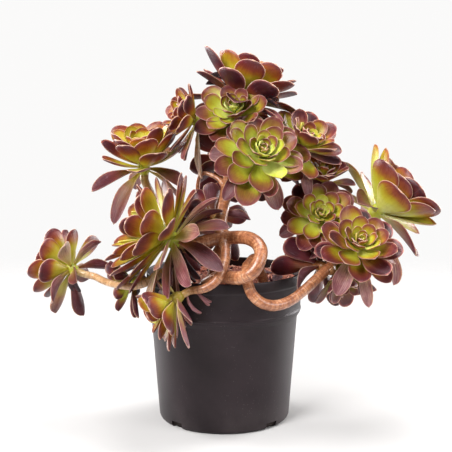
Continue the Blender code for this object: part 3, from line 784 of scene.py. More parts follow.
ROSETTES = {
    "rosette_crown_front": Rosette(
        (40, -36, 318), (12, 36), 58, 52, 26, (10, 88, 116), 6, 0.8, (-34, 4), 0.50, ripe=(0.02, 0.46),
        warm=0.05),
    "rosette_big_left": Rosette(
        (-57, -72, 229), (-88, 28), 80, 74, 39, (8, 76, 140), 24, 0.9, (-42, -22), 0.38, 0.05, 0.20,
        ripe=(0.0, 0.42), shade_painted=(67, 71, 72), warm=0.7, pale=0.0,
        withered=((75, 135, 0.5, 0), (100, 126, 0.5, 0), (128, 140, 0.5, 0), (158, 128, 0.45, 0),
                  (142, 144, 0.58, 6), (112, 144, 0.58, 4), (170, 150, 0.52, 8))),
    "rosette_low_right": Rosette(
        (153, -58, 213), (10, 44), 54, 40, 20, (10, 78, 112), 6, 0.85, (-34, -8), 0.52, ripe=(0.07, 0.55),
        dark=0.15, warm=0.5),
    "rosette_mid_right": Rosette(
        (114, -12, 246), (2, 28), 50, 44, 23, (10, 86, 112), 6, 0.8, (-34, 0), 0.50, ripe=(0.02, 0.54),
        warm=0.35),
    "rosette_outer_right": Rosette(
        (183, 2, 251), (92, 42), 76, 40, 19, (8, 60, 118), 7, 0.9, (-42, -28), 0.64, 0.05, 0.20,
        ripe=(0.0, 0.30), warm=0.55, pale=0.06),
    "rosette_top_left": Rosette(
        (-97, 0, 306), (-15, 76), 61, 46, 22, (6, 60, 136), 7, 0.9, (-46, -34), 0.52, 0.04, 0.30,
        ripe=(0.0, 0.37), shade_painted=(41,), warm=0.9, pale=0.12),
    "rosette_crown_back": Rosette(
        (18, 24, 384), (105, 70), 74, 42, 19, (8, 66, 104), 8, 0.9, (-40, -24), 0.50, 0.04, 0.12,
        ripe=(0.04, 0.50), shade_painted=(27, 30, 33, 35, 38), dark=0.0, warm=0.8,
        withered=((-112, 60, 0.80, 0), (-92, 72, 0.74, 0), (-80, 60, 0.62, 0), (30, 76, 0.86, 0),
                  (44, 66, 0.74, 0))),
    "rosette_crown_left": Rosette(
        (14, 0, 366), (-8, 40), 50, 42, 22, (10, 84, 108), 5, 0.8, (-34, -4), 0.52, ripe=(0.02, 0.50)),
    "rosette_crown_side": Rosette(
        (-31, -2, 362), (-75, 24), 50, 32, 13, (8, 70, 132), 8, 0.9, (-40, -22), 0.46, 0.05, 0.32,
        ripe=(0.14, 0.60), warm=0.9, pale=0.15),
    "rosette_crown_right": Rosette(
        (88, -5, 327), (40, 46), 54, 36, 17, (8, 74, 112), 6, 0.9, (-36, -16), 0.50, ripe=(0.06, 0.56),
        dark=0.25, warm=0.5),
    "rosette_far_left": Rosette(
        (-182, -22, 187), (-112, 18), 52, 38, 17, (8, 76, 126), 9, 0.9, (-38, -18), 0.54, 0.06, 0.18,
        ripe=(0.06, 0.49), withered=((88, 132, 0.5, 0), (112, 118, 0.45, 0)), warm=0.7, pale=0.08),
    "rosette_small_right": Rosette(
        (122, 2, 286), (-8, 66), 42, 28, 13, (10, 74, 112), 4, 0.9, (-34, -10), 0.52, ripe=(0.14, 0.64),
        warm=1.0),
    "rosette_hanging_left": Rosette(
        (-52, -117, 172), (-78, -26), 54, 32, 15, (8, 74, 102), 6, 0.9, (-30, -8), 0.52, 0.08,
        growth=Growth.HANGING, warm=0.65, ripe=(0.04, 0.46), pale=0.2,
        withered=((90, 100, 0.55, 12), (70, 118, 0.5, 22), (112, 105, 0.42, 24))),
    "rosette_hanging_right": Rosette(
        (139, -16, 190), (24, -52), 49, 22, 7, (6, 62, 84), 4, 0.9, (-26, 0), 0.42, 0.06,
        growth=Growth.HANGING, warm=0.0, ripe=(0.12, 0.86)),
    "rosette_back_shoot": Rosette(
        (-12, -26, 250), (-158, 6), 50, 20, 8, (10, 84, 116), 5, 0.9, (-34, -6), 0.50, 0.10,
        growth=Growth.SHADED, warm=0.0, ripe=(0.36, 0.85), withered=((200, 120, 0.5, 0),)),
    "rosette_crown_rear": Rosette(
        (16, 34, 314), (-150, 8), 58, 20, 9, (10, 84, 114), 4, 0.9, (-34, -6), 0.50, 0.10,
        growth=Growth.SHADED, warm=0.0, ripe=(0.30, 0.85), withered=((30, 120, 0.5, 0),)),
    "rosette_dark_right": Rosette(
        (117, -26, 191), (-140, 10), 57, 20, 8, (10, 82, 108), 4, 0.9, (-30, 0), 0.48, 0.08,
        growth=Growth.SHADED, warm=0.0, ripe=(0.50, 0.95)),
    "rosette_small_left": Rosette(
        (-104, -46, 178), (-110, -4), 42, 22, 7, (10, 78, 106), 4, 0.9, (-30, -4), 0.52, 0.10,
        ripe=(0.16, 0.60)),
}


def rosette_axis(name: str) -> tuple[np.ndarray, np.ndarray]:
    """Find where a rosette sits and how it faces.

    Args:
        name: the rosette's name.

    Returns:
        Its base and the unit vector that it faces along.
    """
    around, up = (math.radians(angle) for angle in ROSETTES[name].facing)
    axis = np.array([
        math.sin(around) * math.cos(up), -math.cos(around) * math.cos(up), math.sin(up)])
    return np.array(ROSETTES[name].base) * MM, axis


def blade_outline(s: np.ndarray) -> np.ndarray:
    """Outline a blade.

    It widens as a smooth step from the root to its widest place, and ends in
    a quarter of an ellipse.

    Args:
        s: shares of the blade's length.

    Returns:
        The half width there, over its greatest.
    """
    rise = ROOT_WIDTH + (1 - ROOT_WIDTH) * smooth_step(s / WIDEST_AT)
    end = np.sqrt(np.clip(1 - ((s - WIDEST_AT) / (1 - WIDEST_AT)) ** 2, 0.0, 1.0))
    return np.where(s <= WIDEST_AT, rise, end)


@dataclass
class Blades:
    """The leaves of one rosette as arrays, one value to a leaf."""

    turn: np.ndarray
    tilt: np.ndarray
    bend: np.ndarray
    twist: np.ndarray
    length: np.ndarray
    width: np.ndarray
    root: np.ndarray
    sag: np.ndarray
    ripe: np.ndarray
    aged: np.ndarray
    draw: np.ndarray

    def picked(self, keep: np.ndarray) -> "Blades":
        """Keep some of the leaves."""
        return Blades(*(values[keep] for values in vars(self).values()))

    def posed(self, bend_by: np.ndarray, scale: np.ndarray) -> "Blades":
        """Tilt leaves further and scale their blades.

        Args:
            bend_by: how much further each one tilts, in radians.
            scale: what each one's length and width are multiplied by.

        Returns:
            The leaves as posed.
        """
        changed = dict(vars(self), tilt=self.tilt + bend_by)
        changed.update(length=self.length * scale, width=self.width * scale)
        return Blades(**changed)

    def frames(self, base: np.ndarray, axis: np.ndarray, s: np.ndarray) -> tuple:
        """Place points of the midribs, with the ways across the blades and up.

        Each midrib is an arc in a plane through the rosette's axis: its tilt
        from the axis grows evenly along it, and sag pulls it down as s squared.

        Args:
            base: the rosette's base.
            axis: the unit vector that it faces along.
            s: shares of a blade's length.

        Returns:
            The points, the ways across and the ways up, by leaf, share and axis.
        """
        side, other = square_to(axis)
        out = (np.cos(self.turn)[:, None] * side + np.sin(self.turn)[:, None] * other)[:, None]
        across = np.cross(axis, out)
        start = (self.tilt - 0.5 * self.bend)[:, None]
        tilt = (start + self.bend[:, None] * s)[..., None]
        start = start[..., None]
        reach = (self.length / self.bend)[:, None, None]
        point = base + axis * (self.root[:, None, None] + reach * (np.sin(tilt) - np.sin(start)))
        point = point + out * reach * (np.cos(start) - np.cos(tilt))
        fall = (self.sag * self.length)[:, None] * s * s
        point = point - fall[..., None] * np.array((0.0, 0.0, 1.0))
        up = np.sin(tilt) * axis - np.cos(tilt) * out
        twist = (self.twist[:, None] * s)[..., None]
        return (point, np.cos(twist) * across + np.sin(twist) * up,
                np.cos(twist) * up - np.sin(twist) * across)


def growing_blades(name: str) -> Blades:
    """Work out each leaf of a rosette from its row, as the solids do.

    Leaves follow the golden angle from the youngest, in the middle, to the
    oldest. The firm ones lengthen and tilt outwards with age, and curl in. The
    old ones below them are narrower, bend back and hang.

    Args:
        name: the rosette's name, which also seeds its draws.

    Returns:
        The leaves.
    """
    row = ROSETTES[name]
    draw = np.random.default_rng(sum(ord(c) * (i + 7) for i, c in enumerate(name)))
    phase = draw.uniform(0, math.tau)
    longer, turned, tilted, bent, twisted = (draw.normal(0.0, 1.0, (row.leaves, 5)) * SPREADS).T
    firm = row.leaves - row.old
    index = np.arange(row.leaves)
    age = np.minimum(1.0, index / (firm - 1))
    aged = np.maximum(0.0, (index - firm + 1) / row.old)
    grown = YOUNGEST_LENGTH + (1 - YOUNGEST_LENGTH) * np.minimum(1.0, age / FULL_LENGTH_AGE)
    size = row.length * MM * grown * (1 + longer)
    tilt = row.tilt[0] + (row.tilt[1] - row.tilt[0]) * age ** row.opening
    tilt = tilt + (row.tilt[2] - row.tilt[1]) * aged
    bend = row.curl[0] + (row.curl[1] - row.curl[0]) * age
    bend = bend + (OLD_BEND - row.curl[1]) * np.minimum(1.0, 2 * aged)
    looks = np.random.default_rng(row.leaves * 1000 + int(row.length))
    ripe = row.ripe[0] + (row.ripe[1] - row.ripe[0]) * age
    ripe = ripe + looks.normal(0.0, RIPE_SPREAD, row.leaves)
    near_black = looks.uniform(0.0, 1.0, row.leaves) < row.dark
    # Painted shade: the listed leaves that lie in shade are darkened all over
    shade_painted = np.isin(index, row.shade_painted)
    ripe = ripe + NEAR_BLACK * age * near_black + SHADE_PAINTED_RIPE * shade_painted
    return Blades(
        turn=phase + GOLDEN_ANGLE * index + turned,
        tilt=np.radians(tilt + tilted),
        bend=np.radians(bend + bent),
        twist=twisted,
        length=size,
        width=size * row.width * (YOUNG_WIDTH - FIRM_THINS * age - OLD_THINS * aged),
        root=LEAF_ZONE * row.length * MM * (1 - index / (row.leaves - 1)) ** ROOT_POWER,
        sag=row.sag * age ** 2 + row.hang * aged,
        ripe=ripe,
        aged=aged,
        draw=looks.uniform(0.0, 1.0, row.leaves) + row.pale + SHADE_PAINTED_DRAW * shade_painted)


def follow_solid(name: str, blades: Blades, bud: int) -> Blades:
    """Bend each leaf as its solid blade is bent, and drop those that the solid lacks.

    For each of the solids' bends, the corners that the blade would have are
    looked up among the corners of the solid. The bend that finds most holds.

    Args:
        name: the rosette's name.
        blades: its leaves as they grow.
        bud: how many of the youngest the solid shows as one bud.

    Returns:
        The leaves in the solid's places.
    """
    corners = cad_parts[name].data.vertices
    tree = KDTree(len(corners))
    for vertex in corners:
        tree.insert(vertex.co, vertex.index)
    tree.balance()
    base, axis = rosette_axis(name)
    count = len(blades.turn)
    found = np.zeros((len(BENDS), count), int)
    stations = np.array(PROBES)
    for k, (bend_by, scale) in enumerate(BENDS):
        posed = blades.posed(np.full(count, math.radians(bend_by)), np.full(count, scale))
        tip, _, up = posed.frames(base, axis, np.array((1.0,)))
        point, across, rise = posed.frames(base, axis, stations)
        half = (0.5 * posed.width[:, None] * blade_outline(stations))[..., None]
        lift = BLADE_CUP * half * smooth_step(CUP_RISE * stations)[:, None] + 0.5 * BLADE_THICKNESS
        spots = np.concatenate([
            tip + up * BLADE_THICKNESS, point + across * half + rise * lift,
            point - across * half + rise * lift], axis=1)
        for i in range(count):
            found[k, i] = sum(tree.find(spot)[2] < MATCH for spot in spots[i])
    best = found.argmax(0)
    best[:bud] = 0
    keep = (found.max(0) > 0) | (np.arange(count) < bud)
    chosen = np.array(BENDS)[best]
    LOG.info("%s: %d of %d leaves, %d bent clear", name, keep.sum(), count, (best > 0).sum())
    return blades.posed(np.radians(chosen[:, 0]), chosen[:, 1]).picked(keep)


@dataclass
class RosettePiece:
    """A rosette: a swollen stem end and its cupped leaves, round a bud of young ones."""

    name: str
    root_stations: int = 8
    tip_stations: int = 7
    last_ring: float = 82.0
    tip_reach: float = 1.012
    tip_rise: float = 0.5 * MM
    around: int = 20
    cup_power: float = 1.8
    old_cup: float = 1.1
    old_shrinks: float = 0.12
    frill: tuple = (0.02, 0.05)
    ripple: float = 0.07
    top_thickness: float = 0.35 * MM
    keel: tuple = (1.3, 0.5)
    blunt_ends: float = 0.35
    core_sides: int = 18

    def stations(self) -> np.ndarray:
        """Share out a blade's rings, close together round its tip.

        Returns:
            Their shares of its length.
        """
        root = np.linspace(0.0, WIDEST_AT, self.root_stations, endpoint=False)
        round_tip = np.radians(np.linspace(0.0, self.last_ring, self.tip_stations))
        return np.concatenate([root, WIDEST_AT + (1 - WIDEST_AT) * np.sin(round_tip)])

    def leaf_surface(self, blades: Blades) -> Surface:
        """Build the leaves.

        A ring of points goes round the blade at each station: across it by
        half its width times cos a, and up by the cup, which grows as a power
        of the distance from the midrib, plus the flesh, which is thin above
        and keeled below, times sin a. Old blades ripple.

        Args:
            blades: the leaves, in place.

        Returns:
            Their closed shells, with the marks of LeafFinish.
        """
        base, axis = rosette_axis(self.name)
        s = self.stations()
        point, across, up = (v[:, :, None] for v in blades.frames(base, axis, s))
        angle = angles(self.around)
        v, rise = np.cos(angle), np.sin(angle)
        half = (0.5 * blades.width[:, None] * blade_outline(s))[:, :, None]
        wave = np.sin(9.0 * s[:, None] + 5.0 * np.sign(v) + math.tau * blades.draw[:, None, None])
        aged = blades.aged[:, None, None]
        frill = self.frill[0] + self.frill[1] * aged
        half = half * (1 - self.old_shrinks * aged + frill * wave)
        cup = BLADE_CUP * half * smooth_step(CUP_RISE * s)[:, None]
        cup = cup * (1 + self.old_cup * aged) + 0.5 * BLADE_THICKNESS
        ripple = aged * self.ripple * half * wave * np.abs(v)
        keel = BLADE_THICKNESS * (self.keel[0] - self.keel[1] * s)[:, None]
        blunt = (self.blunt_ends + (1 - self.blunt_ends) * np.sqrt(blade_outline(s)))[:, None]
        flesh = np.where(rise > 0, self.top_thickness, keel) * blunt * rise
        lift = cup * np.abs(v) ** self.cup_power + ripple + flesh
        rings = point + across * (half * v)[..., None] + up * lift[..., None]
        tip, _, tip_up = blades.frames(base, axis, np.array((self.tip_reach,)))
        tail = point[:, 0, 0]
        head = tip[:, 0] + tip_up[:, 0] * self.tip_rise
        rim = np.minimum(half * (1 - np.abs(v)), (1 - s)[:, None] * blades.length[:, None, None] * 0.9)
        life = (values[:, None, None] for values in (blades.ripe, blades.aged, blades.draw))
        marks = {
            "leaf_place": triple(rim.shape, s[:, None], v, rise),
            "leaf_life": triple(rim.shape, *life),
            "leaf_rim": triple(rim.shape, rim / MM, ROSETTES[self.name].warm, 0.0),
        }
        return shells(rings, tail, head, marks)

    def core_surface(self) -> Surface:
        """Build the stem's swollen end, which the leaves stand on, round the axis.

        Returns:
            Its closed shell, with the marks of LeafFinish.
        """
        base, axis = rosette_axis(self.name)
        length = ROSETTES[self.name].length * MM
        heights = np.array(CORE_FEET) * CORE_FOOT + np.array(CORE_ZONES) * LEAF_ZONE * length
        radii = np.array(CORE_WIDTHS) * CORE_RADIUS * length
        side, other = square_to(axis)
        angle = angles(self.core_sides)[:, None]
        ring = np.cos(angle) * side + np.sin(angle) * other
        rings = (base + heights[:, None, None] * axis + radii[:, None, None] * ring)[None]
        core_marks = {"leaf_place": 0.05, "leaf_life": 0.55, "leaf_rim": 9.0}
        marks = {key: triple(rings.shape[:3], value, 0.0, 0.0) for key, value in core_marks.items()}
        ends = [(base + height * axis)[None] for height in (heights[0], heights[-1] + 0.05 * length)]
        return shells(rings, *ends, marks).outward()

    def withered_blades(self) -> Blades:
        """Work out the shrivelled leaves that cling to the stem under the rosette.

        Returns:
            The leaves, in place.
        """
        row = ROSETTES[self.name]
        turn, tilt, share, below = np.array(row.withered, float).T
        count = len(turn)
        draw = np.random.default_rng(count * 31 + row.leaves)
        length = row.length * MM * share
        return Blades(
            turn=np.radians(turn),
            tilt=np.radians(tilt),
            bend=np.radians(draw.uniform(30, 70, count)),
            twist=draw.normal(0.0, 0.5, count),
            length=length,
            width=length * draw.uniform(0.22, 0.36, count),
            root=-below * MM,
            sag=draw.uniform(0.0, 0.2, count),
            ripe=np.full(count, SHRIVELLED_RIPE),
            aged=np.full(count, SHRIVELLED_AGE),
            draw=draw.uniform(-0.7, -0.3, count) + row.pale)

    def build(self, finish: bpy.types.Material) -> bpy.types.Object:
        """Build the rosette in place of its solid.

        Args:
            finish: the leaves' material.

        Returns:
            The piece.
        """
        row = ROSETTES[self.name]
        blades = follow_solid(self.name, growing_blades(self.name), row.blades)
        surface = self.leaf_surface(blades).outward().joined(self.core_surface())
        if row.withered:
            surface = surface.joined(self.leaf_surface(self.withered_blades()).outward())
        return add_piece(
            f"{self.name}_leaves", surface.mesh(self.name), finish, row.growth.value, self.name)


# Stems

SOIL_LEVEL = 171.0 * MM
ROOT_DEPTH = 26.0 * MM
STRAIGHT_ABOVE_SOIL = 8.0 * MM


class Foot(NamedTuple):
    """Where a stem meets the soil in millimetres, how it leans there and its radius."""

    spot: tuple
    lean: tuple
    radius: float


@dataclass(frozen=True)
class Run:
    """One stretch of stem: x, y, z and radius in millimetres at each point.

    It starts in the soil at a foot or inside another run, and ends under a
    rosette, with the radius that it has there, or free.
    """

    route: tuple
    foot: Foot | None = None
    rosette: str = ""
    end_radius: float = 0.0

    def points(self) -> np.ndarray:
        """List the run's points, from its foot to its neck.

        Returns:
            x, y, z and radius of each in metres.
        """
        rows = [np.array(self.route, float) * MM]
        if self.foot:
            lean = np.array(self.foot.lean) / np.linalg.norm(self.foot.lean)
            ground = np.array([*(v * MM for v in self.foot.spot), SOIL_LEVEL])
            steps = np.array((-ROOT_DEPTH, -0.5 * ROOT_DEPTH, 3 * MM, STRAIGHT_ABOVE_SOIL))
            start = np.column_stack([ground + steps[:, None] * lean, np.full(4, self.foot.radius * MM)])
            rows.insert(0, start)
        if self.rosette:
            base, axis = rosette_axis("rosette_" + self.rosette)
            foot = base - axis * (CORE_FOOT + GAP)
            neck = np.array([foot - axis * STEM_NECK, foot, base - axis * 0.5 * CORE_FOOT])
            rows.append(np.column_stack([neck, np.full(3, self.end_radius * MM)]))
        return np.vstack(rows)


@dataclass
class StemPiece:
    """A stem with its branches, and rings where leaves once grew."""

    name: str
    bark: Bark
    runs: tuple[Run, ...]
    pitch: float = 1.5 * MM
    around: int = 22
    first_side: tuple = (0.31, 0.87, 0.38)
    ring_gap: float = 6.5 * MM
    ring_drift: float = 17.0 * MM
    ring_power: int = 6
    ring_height: float = 0.012
    lump_lengths: tuple = (11.0 * MM, 5.0 * MM)
    lump_height: float = 0.06
    flare: float = 0.35
    flare_at: float = 4.0 * MM
    flare_length: float = 7.0 * MM
    green_most: float = 0.85
    green_reach: float = 26.0 * MM

    def centreline(self, points: np.ndarray) -> np.ndarray:
        """Read a smooth curve: cubics from point to point, each along its neighbours' chord.

        Args:
            points: x, y, z and radius of each.

        Returns:
            The curve's points, about a pitch apart.
        """
        ends = np.vstack([2 * points[0] - points[1], points, 2 * points[-1] - points[-2]])
        samples = []
        for k in range(len(points) - 1):
            p0, p1, p2, p3 = ends[k:k + 4]
            count = max(1, round(float(np.linalg.norm((p2 - p1)[:3])) / self.pitch))
            t = (np.arange(count) / count)[:, None]
            samples.append(0.5 * (2 * p1 + (p2 - p0) * t + (2 * p0 - 5 * p1 + 4 * p2 - p3) * t ** 2
                                  + (3 * p1 - p0 - 3 * p2 + p3) * t ** 3))
        return np.vstack([*samples, points[-1:]])

    def run_surface(self, run: Run, seed: int) -> Surface:
        """Carry a ring along a run.

        The radius is the route's, times a low noise, times rings that rise as
        a narrow wave of the length along, and it flares where a branch starts.

        Args:
            run: the stretch of stem.
            seed: seeds its lumps.

        Returns:
            The run's closed shell, with the marks of BarkFinish.
        """
        line = self.centreline(run.points())
        centre, radius = line[:, :3], line[:, 3]
        along = np.concatenate([[0.0], np.cumsum(np.linalg.norm(np.diff(centre, axis=0), axis=1))])
        forward = np.gradient(centre, axis=0)
        forward /= np.linalg.norm(forward, axis=1)[:, None]
        side = np.empty_like(forward)
        side[0] = np.cross(forward[0], self.first_side)
        for k in range(1, len(side)):
            side[k] = side[k - 1] - forward[k] * np.dot(side[k - 1], forward[k])
            side[k] /= np.linalg.norm(side[k])
        side[0] /= np.linalg.norm(side[0])
        other = np.cross(forward, side)
        draw = np.random.default_rng(seed)
        phase = draw.uniform(0, math.tau, 6)
        angle = angles(self.around)[None]
        far = along[:, None]
        broad, close = self.lump_lengths
        lump = (np.sin(far / broad + phase[0] + 1.5 * np.sin(angle + phase[1]))
                + 0.7 * np.sin(far / close + phase[2] + 2.0 * np.cos(angle + phase[3])))
        wave = np.sin(math.pi * far / self.ring_gap + 0.9 * np.sin(far / self.ring_drift + phase[4])
                      + 0.5 * np.sin(angle + phase[5]))
        ring = np.abs(wave) ** self.ring_power
        size = radius[:, None] * (1 + self.lump_height * 0.4 * lump + self.ring_height * ring)
        if not run.foot:
            size = size * (1 + self.flare * np.exp(-((far - self.flare_at) / self.flare_length) ** 2))
        rings = centre[:, None] + size[..., None] * (
            np.cos(angle)[..., None] * side[:, None] + np.sin(angle)[..., None] * other[:, None])
        young = 0.0
        if run.rosette:
            young = self.green_most * smooth_step(1 - (along[-1] - far) / self.green_reach)
        shape = (1, *ring.shape)
        marks = {
            "stem_place": triple(shape, far, young, ring),
            "stem_round": triple(shape, far, np.cos(angle), np.sin(angle)),
        }
        return shells(rings[None], centre[:1], centre[-1:], marks).outward()

    def build(self, finish: bpy.types.Material) -> bpy.types.Object:
        """Build the stem in place of its solid.

        Args:
            finish: the bark's material.

        Returns:
            The piece.
        """
        first, *others = (
            self.run_surface(run, 17 * i + len(self.name)) for i, run in enumerate(self.runs))
        mesh = first.joined(*others).mesh(self.name)
        return add_piece(f"{self.name}_bark", mesh, finish, self.bark.value, self.name)


STEMS = (
    StemPiece("stem_main", Bark.COPPER, (
        Run(((-13, -84, 186.5, 7.0), (-3, -94, 192, 7.2), (9, -107, 192.5, 7.4), (20, -118, 195, 7.6),
             (31, -122, 202, 7.6), (38, -119, 212, 7.6), (41, -111, 223, 7.6), (37, -101, 231, 7.6),
             (28, -90, 234.5, 7.6), (17, -80, 234.5, 7.6), (4, -72, 232.5, 7.6), (-13, -68, 230, 7.4),
             (-26, -69, 227, 7.0)),
            Foot((-24, -72), (0.30, -0.32, 1.0), 7.0), "big_left", 6.4),
        Run(((-2, -68, 231, 7.0), (-4, -55, 244, 7.0), (-2, -40, 257, 7.0), (1, -26, 273, 6.8),
             (3, -13, 288, 6.6), (7, -3, 303, 6.6), (12, 6, 319, 6.4), (18, 14, 338, 6.0),
             (23, 22, 360, 5.6))),
        Run(((-10, -48, 205, 6.4), (-5, -56, 219, 6.2), (-2, -64, 231, 6.0)),
            Foot((-15, -38), (0.12, -0.25, 1.0), 6.6)),
        Run(((-1, -68, 231, 6.0), (2, -82, 221, 6.0), (1, -97, 210, 5.8), (-3, -109, 199, 5.6),
             (-12, -115, 188, 5.2), (-24, -117, 182, 4.8)), None, "hanging_left", 4.2),
        Run(((6, -4, 303, 5.0), (11, -10, 291, 5.0), (15, -18, 279, 5.0), (23, -27, 271.5, 5.0),
             (32, -30, 274, 5.0), (36, -22, 288, 5.0)), None, "crown_front", 5.0),
        Run(((2, -16, 285, 3.0), (-6, -10, 294, 2.8), (-15, -7, 299, 2.6), (-24, -4, 301, 2.5),
             (-30, -2, 296, 2.5), (-32, -2, 283, 2.5), (-32, 0, 268, 2.5))),
        Run(((-2, -50, 250, 5.0),), None, "back_shoot", 4.6),
        Run(((23, 22, 358, 5.2), (17, 22, 366, 5.0)), None, "crown_back", 5.0),
        Run(((18, 13, 336, 5.2), (18, 16, 347, 5.0)), None, "crown_left", 4.8),
        Run(((14, 9, 325, 5.0), (2, 10, 340, 4.8), (-10, 6, 352, 4.6)), None, "crown_side", 4.4),
        Run(((9, 2, 309, 5.0), (26, 6, 303, 4.6), (46, 7, 300, 4.4), (66, 5, 303, 4.4)),
            None, "crown_right", 4.4),
        Run(((10, 2, 309, 4.8), (20, 10, 311, 4.6)), None, "crown_rear", 4.4),
    )),
    StemPiece("stem_right", Bark.COPPER, (
        Run(((37, -58, 205, 6.2), (29, -74, 202.5, 6.2), (25, -90, 198, 6.2), (26, -104, 187, 6.2),
             (32, -110, 174, 6.2), (42, -110, 165, 6.2), (55, -105, 160.5, 6.2), (68, -97, 161, 6.2),
             (80, -86, 165, 6.0), (92, -73, 171, 6.0), (105, -58, 179, 6.0), (116, -46, 186, 5.8),
             (127, -36, 195, 5.6), (137, -26, 206, 5.4), (145, -16, 221, 5.2), (149, -8, 238, 5.0),
             (147, -2, 254, 4.6), (140, 2, 266, 4.2)),
            Foot((46, -42), (-0.10, -0.22, 1.0), 6.2), "small_right", 3.8),
        Run(((134, -28, 202, 5.0), (136, -15, 206, 4.8)), None, "hanging_right", 4.4),
        Run(((124, -40, 192, 5.0),), None, "dark_right", 4.4),
        Run(((140, -23, 209, 4.8), (148, -33, 204, 4.6)), None, "low_right", 4.6),
        Run(((148, -8, 240, 4.6), (138, 0, 246, 4.4)), None, "mid_right", 4.4),
        Run(((148, -8, 233, 5.0), (160, -3, 238, 4.8)), None, "outer_right", 5.0),
    )),
    StemPiece("stem_left_low", Bark.TAN, (
        Run(((-57, -50, 190, 4.8), (-69, -62, 191.5, 4.8), (-80, -70, 187, 4.6), (-91, -74, 180, 4.4),
             (-106, -71, 175.5, 4.2), (-124, -60, 175, 4.2), (-142, -43, 176.5, 4.2),
             (-155, -28, 179, 4.2)),
            Foot((-42, -38), (-0.45, -0.35, 1.0), 5.0), "far_left", 4.2),
        Run(((-78, -68, 188, 4.2), (-82, -60, 184, 4.0)), None, "small_left", 3.8),
    )),
    StemPiece("stem_left_tall", Bark.TAN, (
        Run(((-56, 12, 200, 5.4), (-64, 18, 222, 5.2), (-76, 20, 248, 5.0), (-88, 14, 272, 4.8)),
            Foot((-50, 4), (-0.15, 0.20, 1.0), 5.6), "top_left", 5.0),
    )),
)


# Pot and soil


@dataclass
class Pot:
    """The round nursery pot: tapered wall, collar, rolled lip and four drainage notches."""

    height: float = 182.6 * MM
    rim_radius: float = 95.0 * MM
    lip_depth: float = 13.0 * MM
    lip_proud: float = 1.0 * MM
    collar_bottom: float = 134.0 * MM
    collar_radius: float = 93.4 * MM
    wall_top: float = 128.0 * MM
    wall_top_radius: float = 89.6 * MM
    base_radius: float = 80.2 * MM
    base_edge: float = 4.5 * MM
    wall: float = 2.0 * MM
    floor: float = 2.5 * MM
    bead: float = 0.9 * MM
    bead_heights: tuple = (5.0 * MM, 4.2 * MM, 2.4 * MM, 1.6 * MM)
    groove_at: float = 0.55
    rim_round: float = 1.2 * MM
    notches: int = 4
    notch_size: tuple = (14.0 * MM, 17.0 * MM, 8.0 * MM)
    corner: float = 1.2 * MM
    sharp_from: float = 35.0
    steps: int = 192

    def inside(self, lowest: float) -> list[tuple[float, float]]:
        """List the inside of the wall, up to the ledge.

        Args:
            lowest: the height that it starts at.

        Returns:
            Radius and height of each point.
        """
        return [
            (self.base_radius - 1.35 * self.wall, lowest),
            (self.wall_top_radius - self.wall, self.wall_top + 0.7 * self.wall),
            (self.collar_radius - self.wall, self.collar_bottom + 0.7 * self.wall),
        ]

    def profile(self) -> list[tuple[float, float]]:
        """List the outline, from the middle of the floor inside to the middle of the base.

        Returns:
            Radius and height of each point.
        """
        lip_foot = self.height - self.lip_depth
        proud = self.collar_radius + self.bead
        over, high, low, under = (self.collar_bottom + height for height in self.bead_heights)
        slope = (self.wall_top_radius - self.base_radius) / (self.wall_top - self.base_edge)
        groove = self.groove_at * self.wall_top
        at_groove = self.base_radius + slope * (groove - self.base_edge)
        return [
            (0.0, self.floor),
            *self.inside(self.floor),
            (self.rim_radius - 1.3 * self.wall, self.height - self.rim_round),
            (self.rim_radius - self.wall, self.height),
            (self.rim_radius - 0.5 * self.wall, self.height),
            (self.rim_radius, self.height - self.rim_round),
            (self.rim_radius, lip_foot + self.lip_proud),
            (self.rim_radius - self.lip_proud, lip_foot),
            (self.collar_radius + 0.2 * MM, over),
            (proud, high),
            (proud, low),
            (self.collar_radius, under),
            (self.collar_radius, self.collar_bottom),
            (self.wall_top_radius, self.wall_top),
            (at_groove, groove),
            (self.base_radius, self.base_edge),
            (self.base_radius - 0.3 * self.base_edge, 0.3 * self.base_edge),
            (self.base_radius - self.base_edge, 0.0),
            (0.0, 0.0),
        ]

    def notch_boxes(self) -> bpy.types.Object:
        """Make the boxes that cut the notches, on the diagonals of the base.

        Returns:
            The boxes as one object.
        """
        turn = math.tau * (np.arange(self.notches) + 0.5) / self.notches
        depth, width, height = self.notch_size
        corner = np.array([(x, y, z) for z in (-1, 1) for x, y in ((-1, -1), (1, -1), (1, 1), (-1, 1))])
        local = corner * np.array((0.5 * depth, 0.5 * width, height))
        local = local + np.array((self.base_radius, 0.0, 0.0))
        c, s = np.cos(turn)[:, None], np.sin(turn)[:, None]
        x, y, z = local.T
        spots = triple((self.notches, len(local)), x * c - y * s, x * s + y * c, z)
        rings = spots.reshape(self.notches, 2, 4, 3)
        surface = shells(rings, rings[:, 0].mean(1), rings[:, -1].mean(1)).outward()
        return placed("notch_boxes", surface.mesh("notch_boxes"))

    def build(self, finish: bpy.types.Material) -> bpy.types.Object:
        """Turn the wall, cut the notches and show the pot in place of its solid.

        Args:
            finish: the pot's material.

        Returns:
            The piece.
        """
        whole = lathe(rounded(self.profile(), self.corner), self.steps).mesh("pot_wall")
        blank, boxes = placed("pot_blank", whole), self.notch_boxes()
        cut = blank.modifiers.new("notches", "BOOLEAN")
        cut.object = boxes
        cut.operation = "DIFFERENCE"
        cut.solver = "EXACT"
        bpy.context.view_layer.update()
        mesh = bpy.data.meshes.new_from_object(
            blank.evaluated_get(bpy.context.evaluated_depsgraph_get()))
        for spare in (blank, boxes):
            bpy.data.objects.remove(spare, do_unlink=True)
        mesh.shade_smooth()
        mesh.set_sharp_from_angle(angle=math.radians(self.sharp_from))
        return add_piece("nursery_pot", mesh, finish, "black_plastic", "pot")


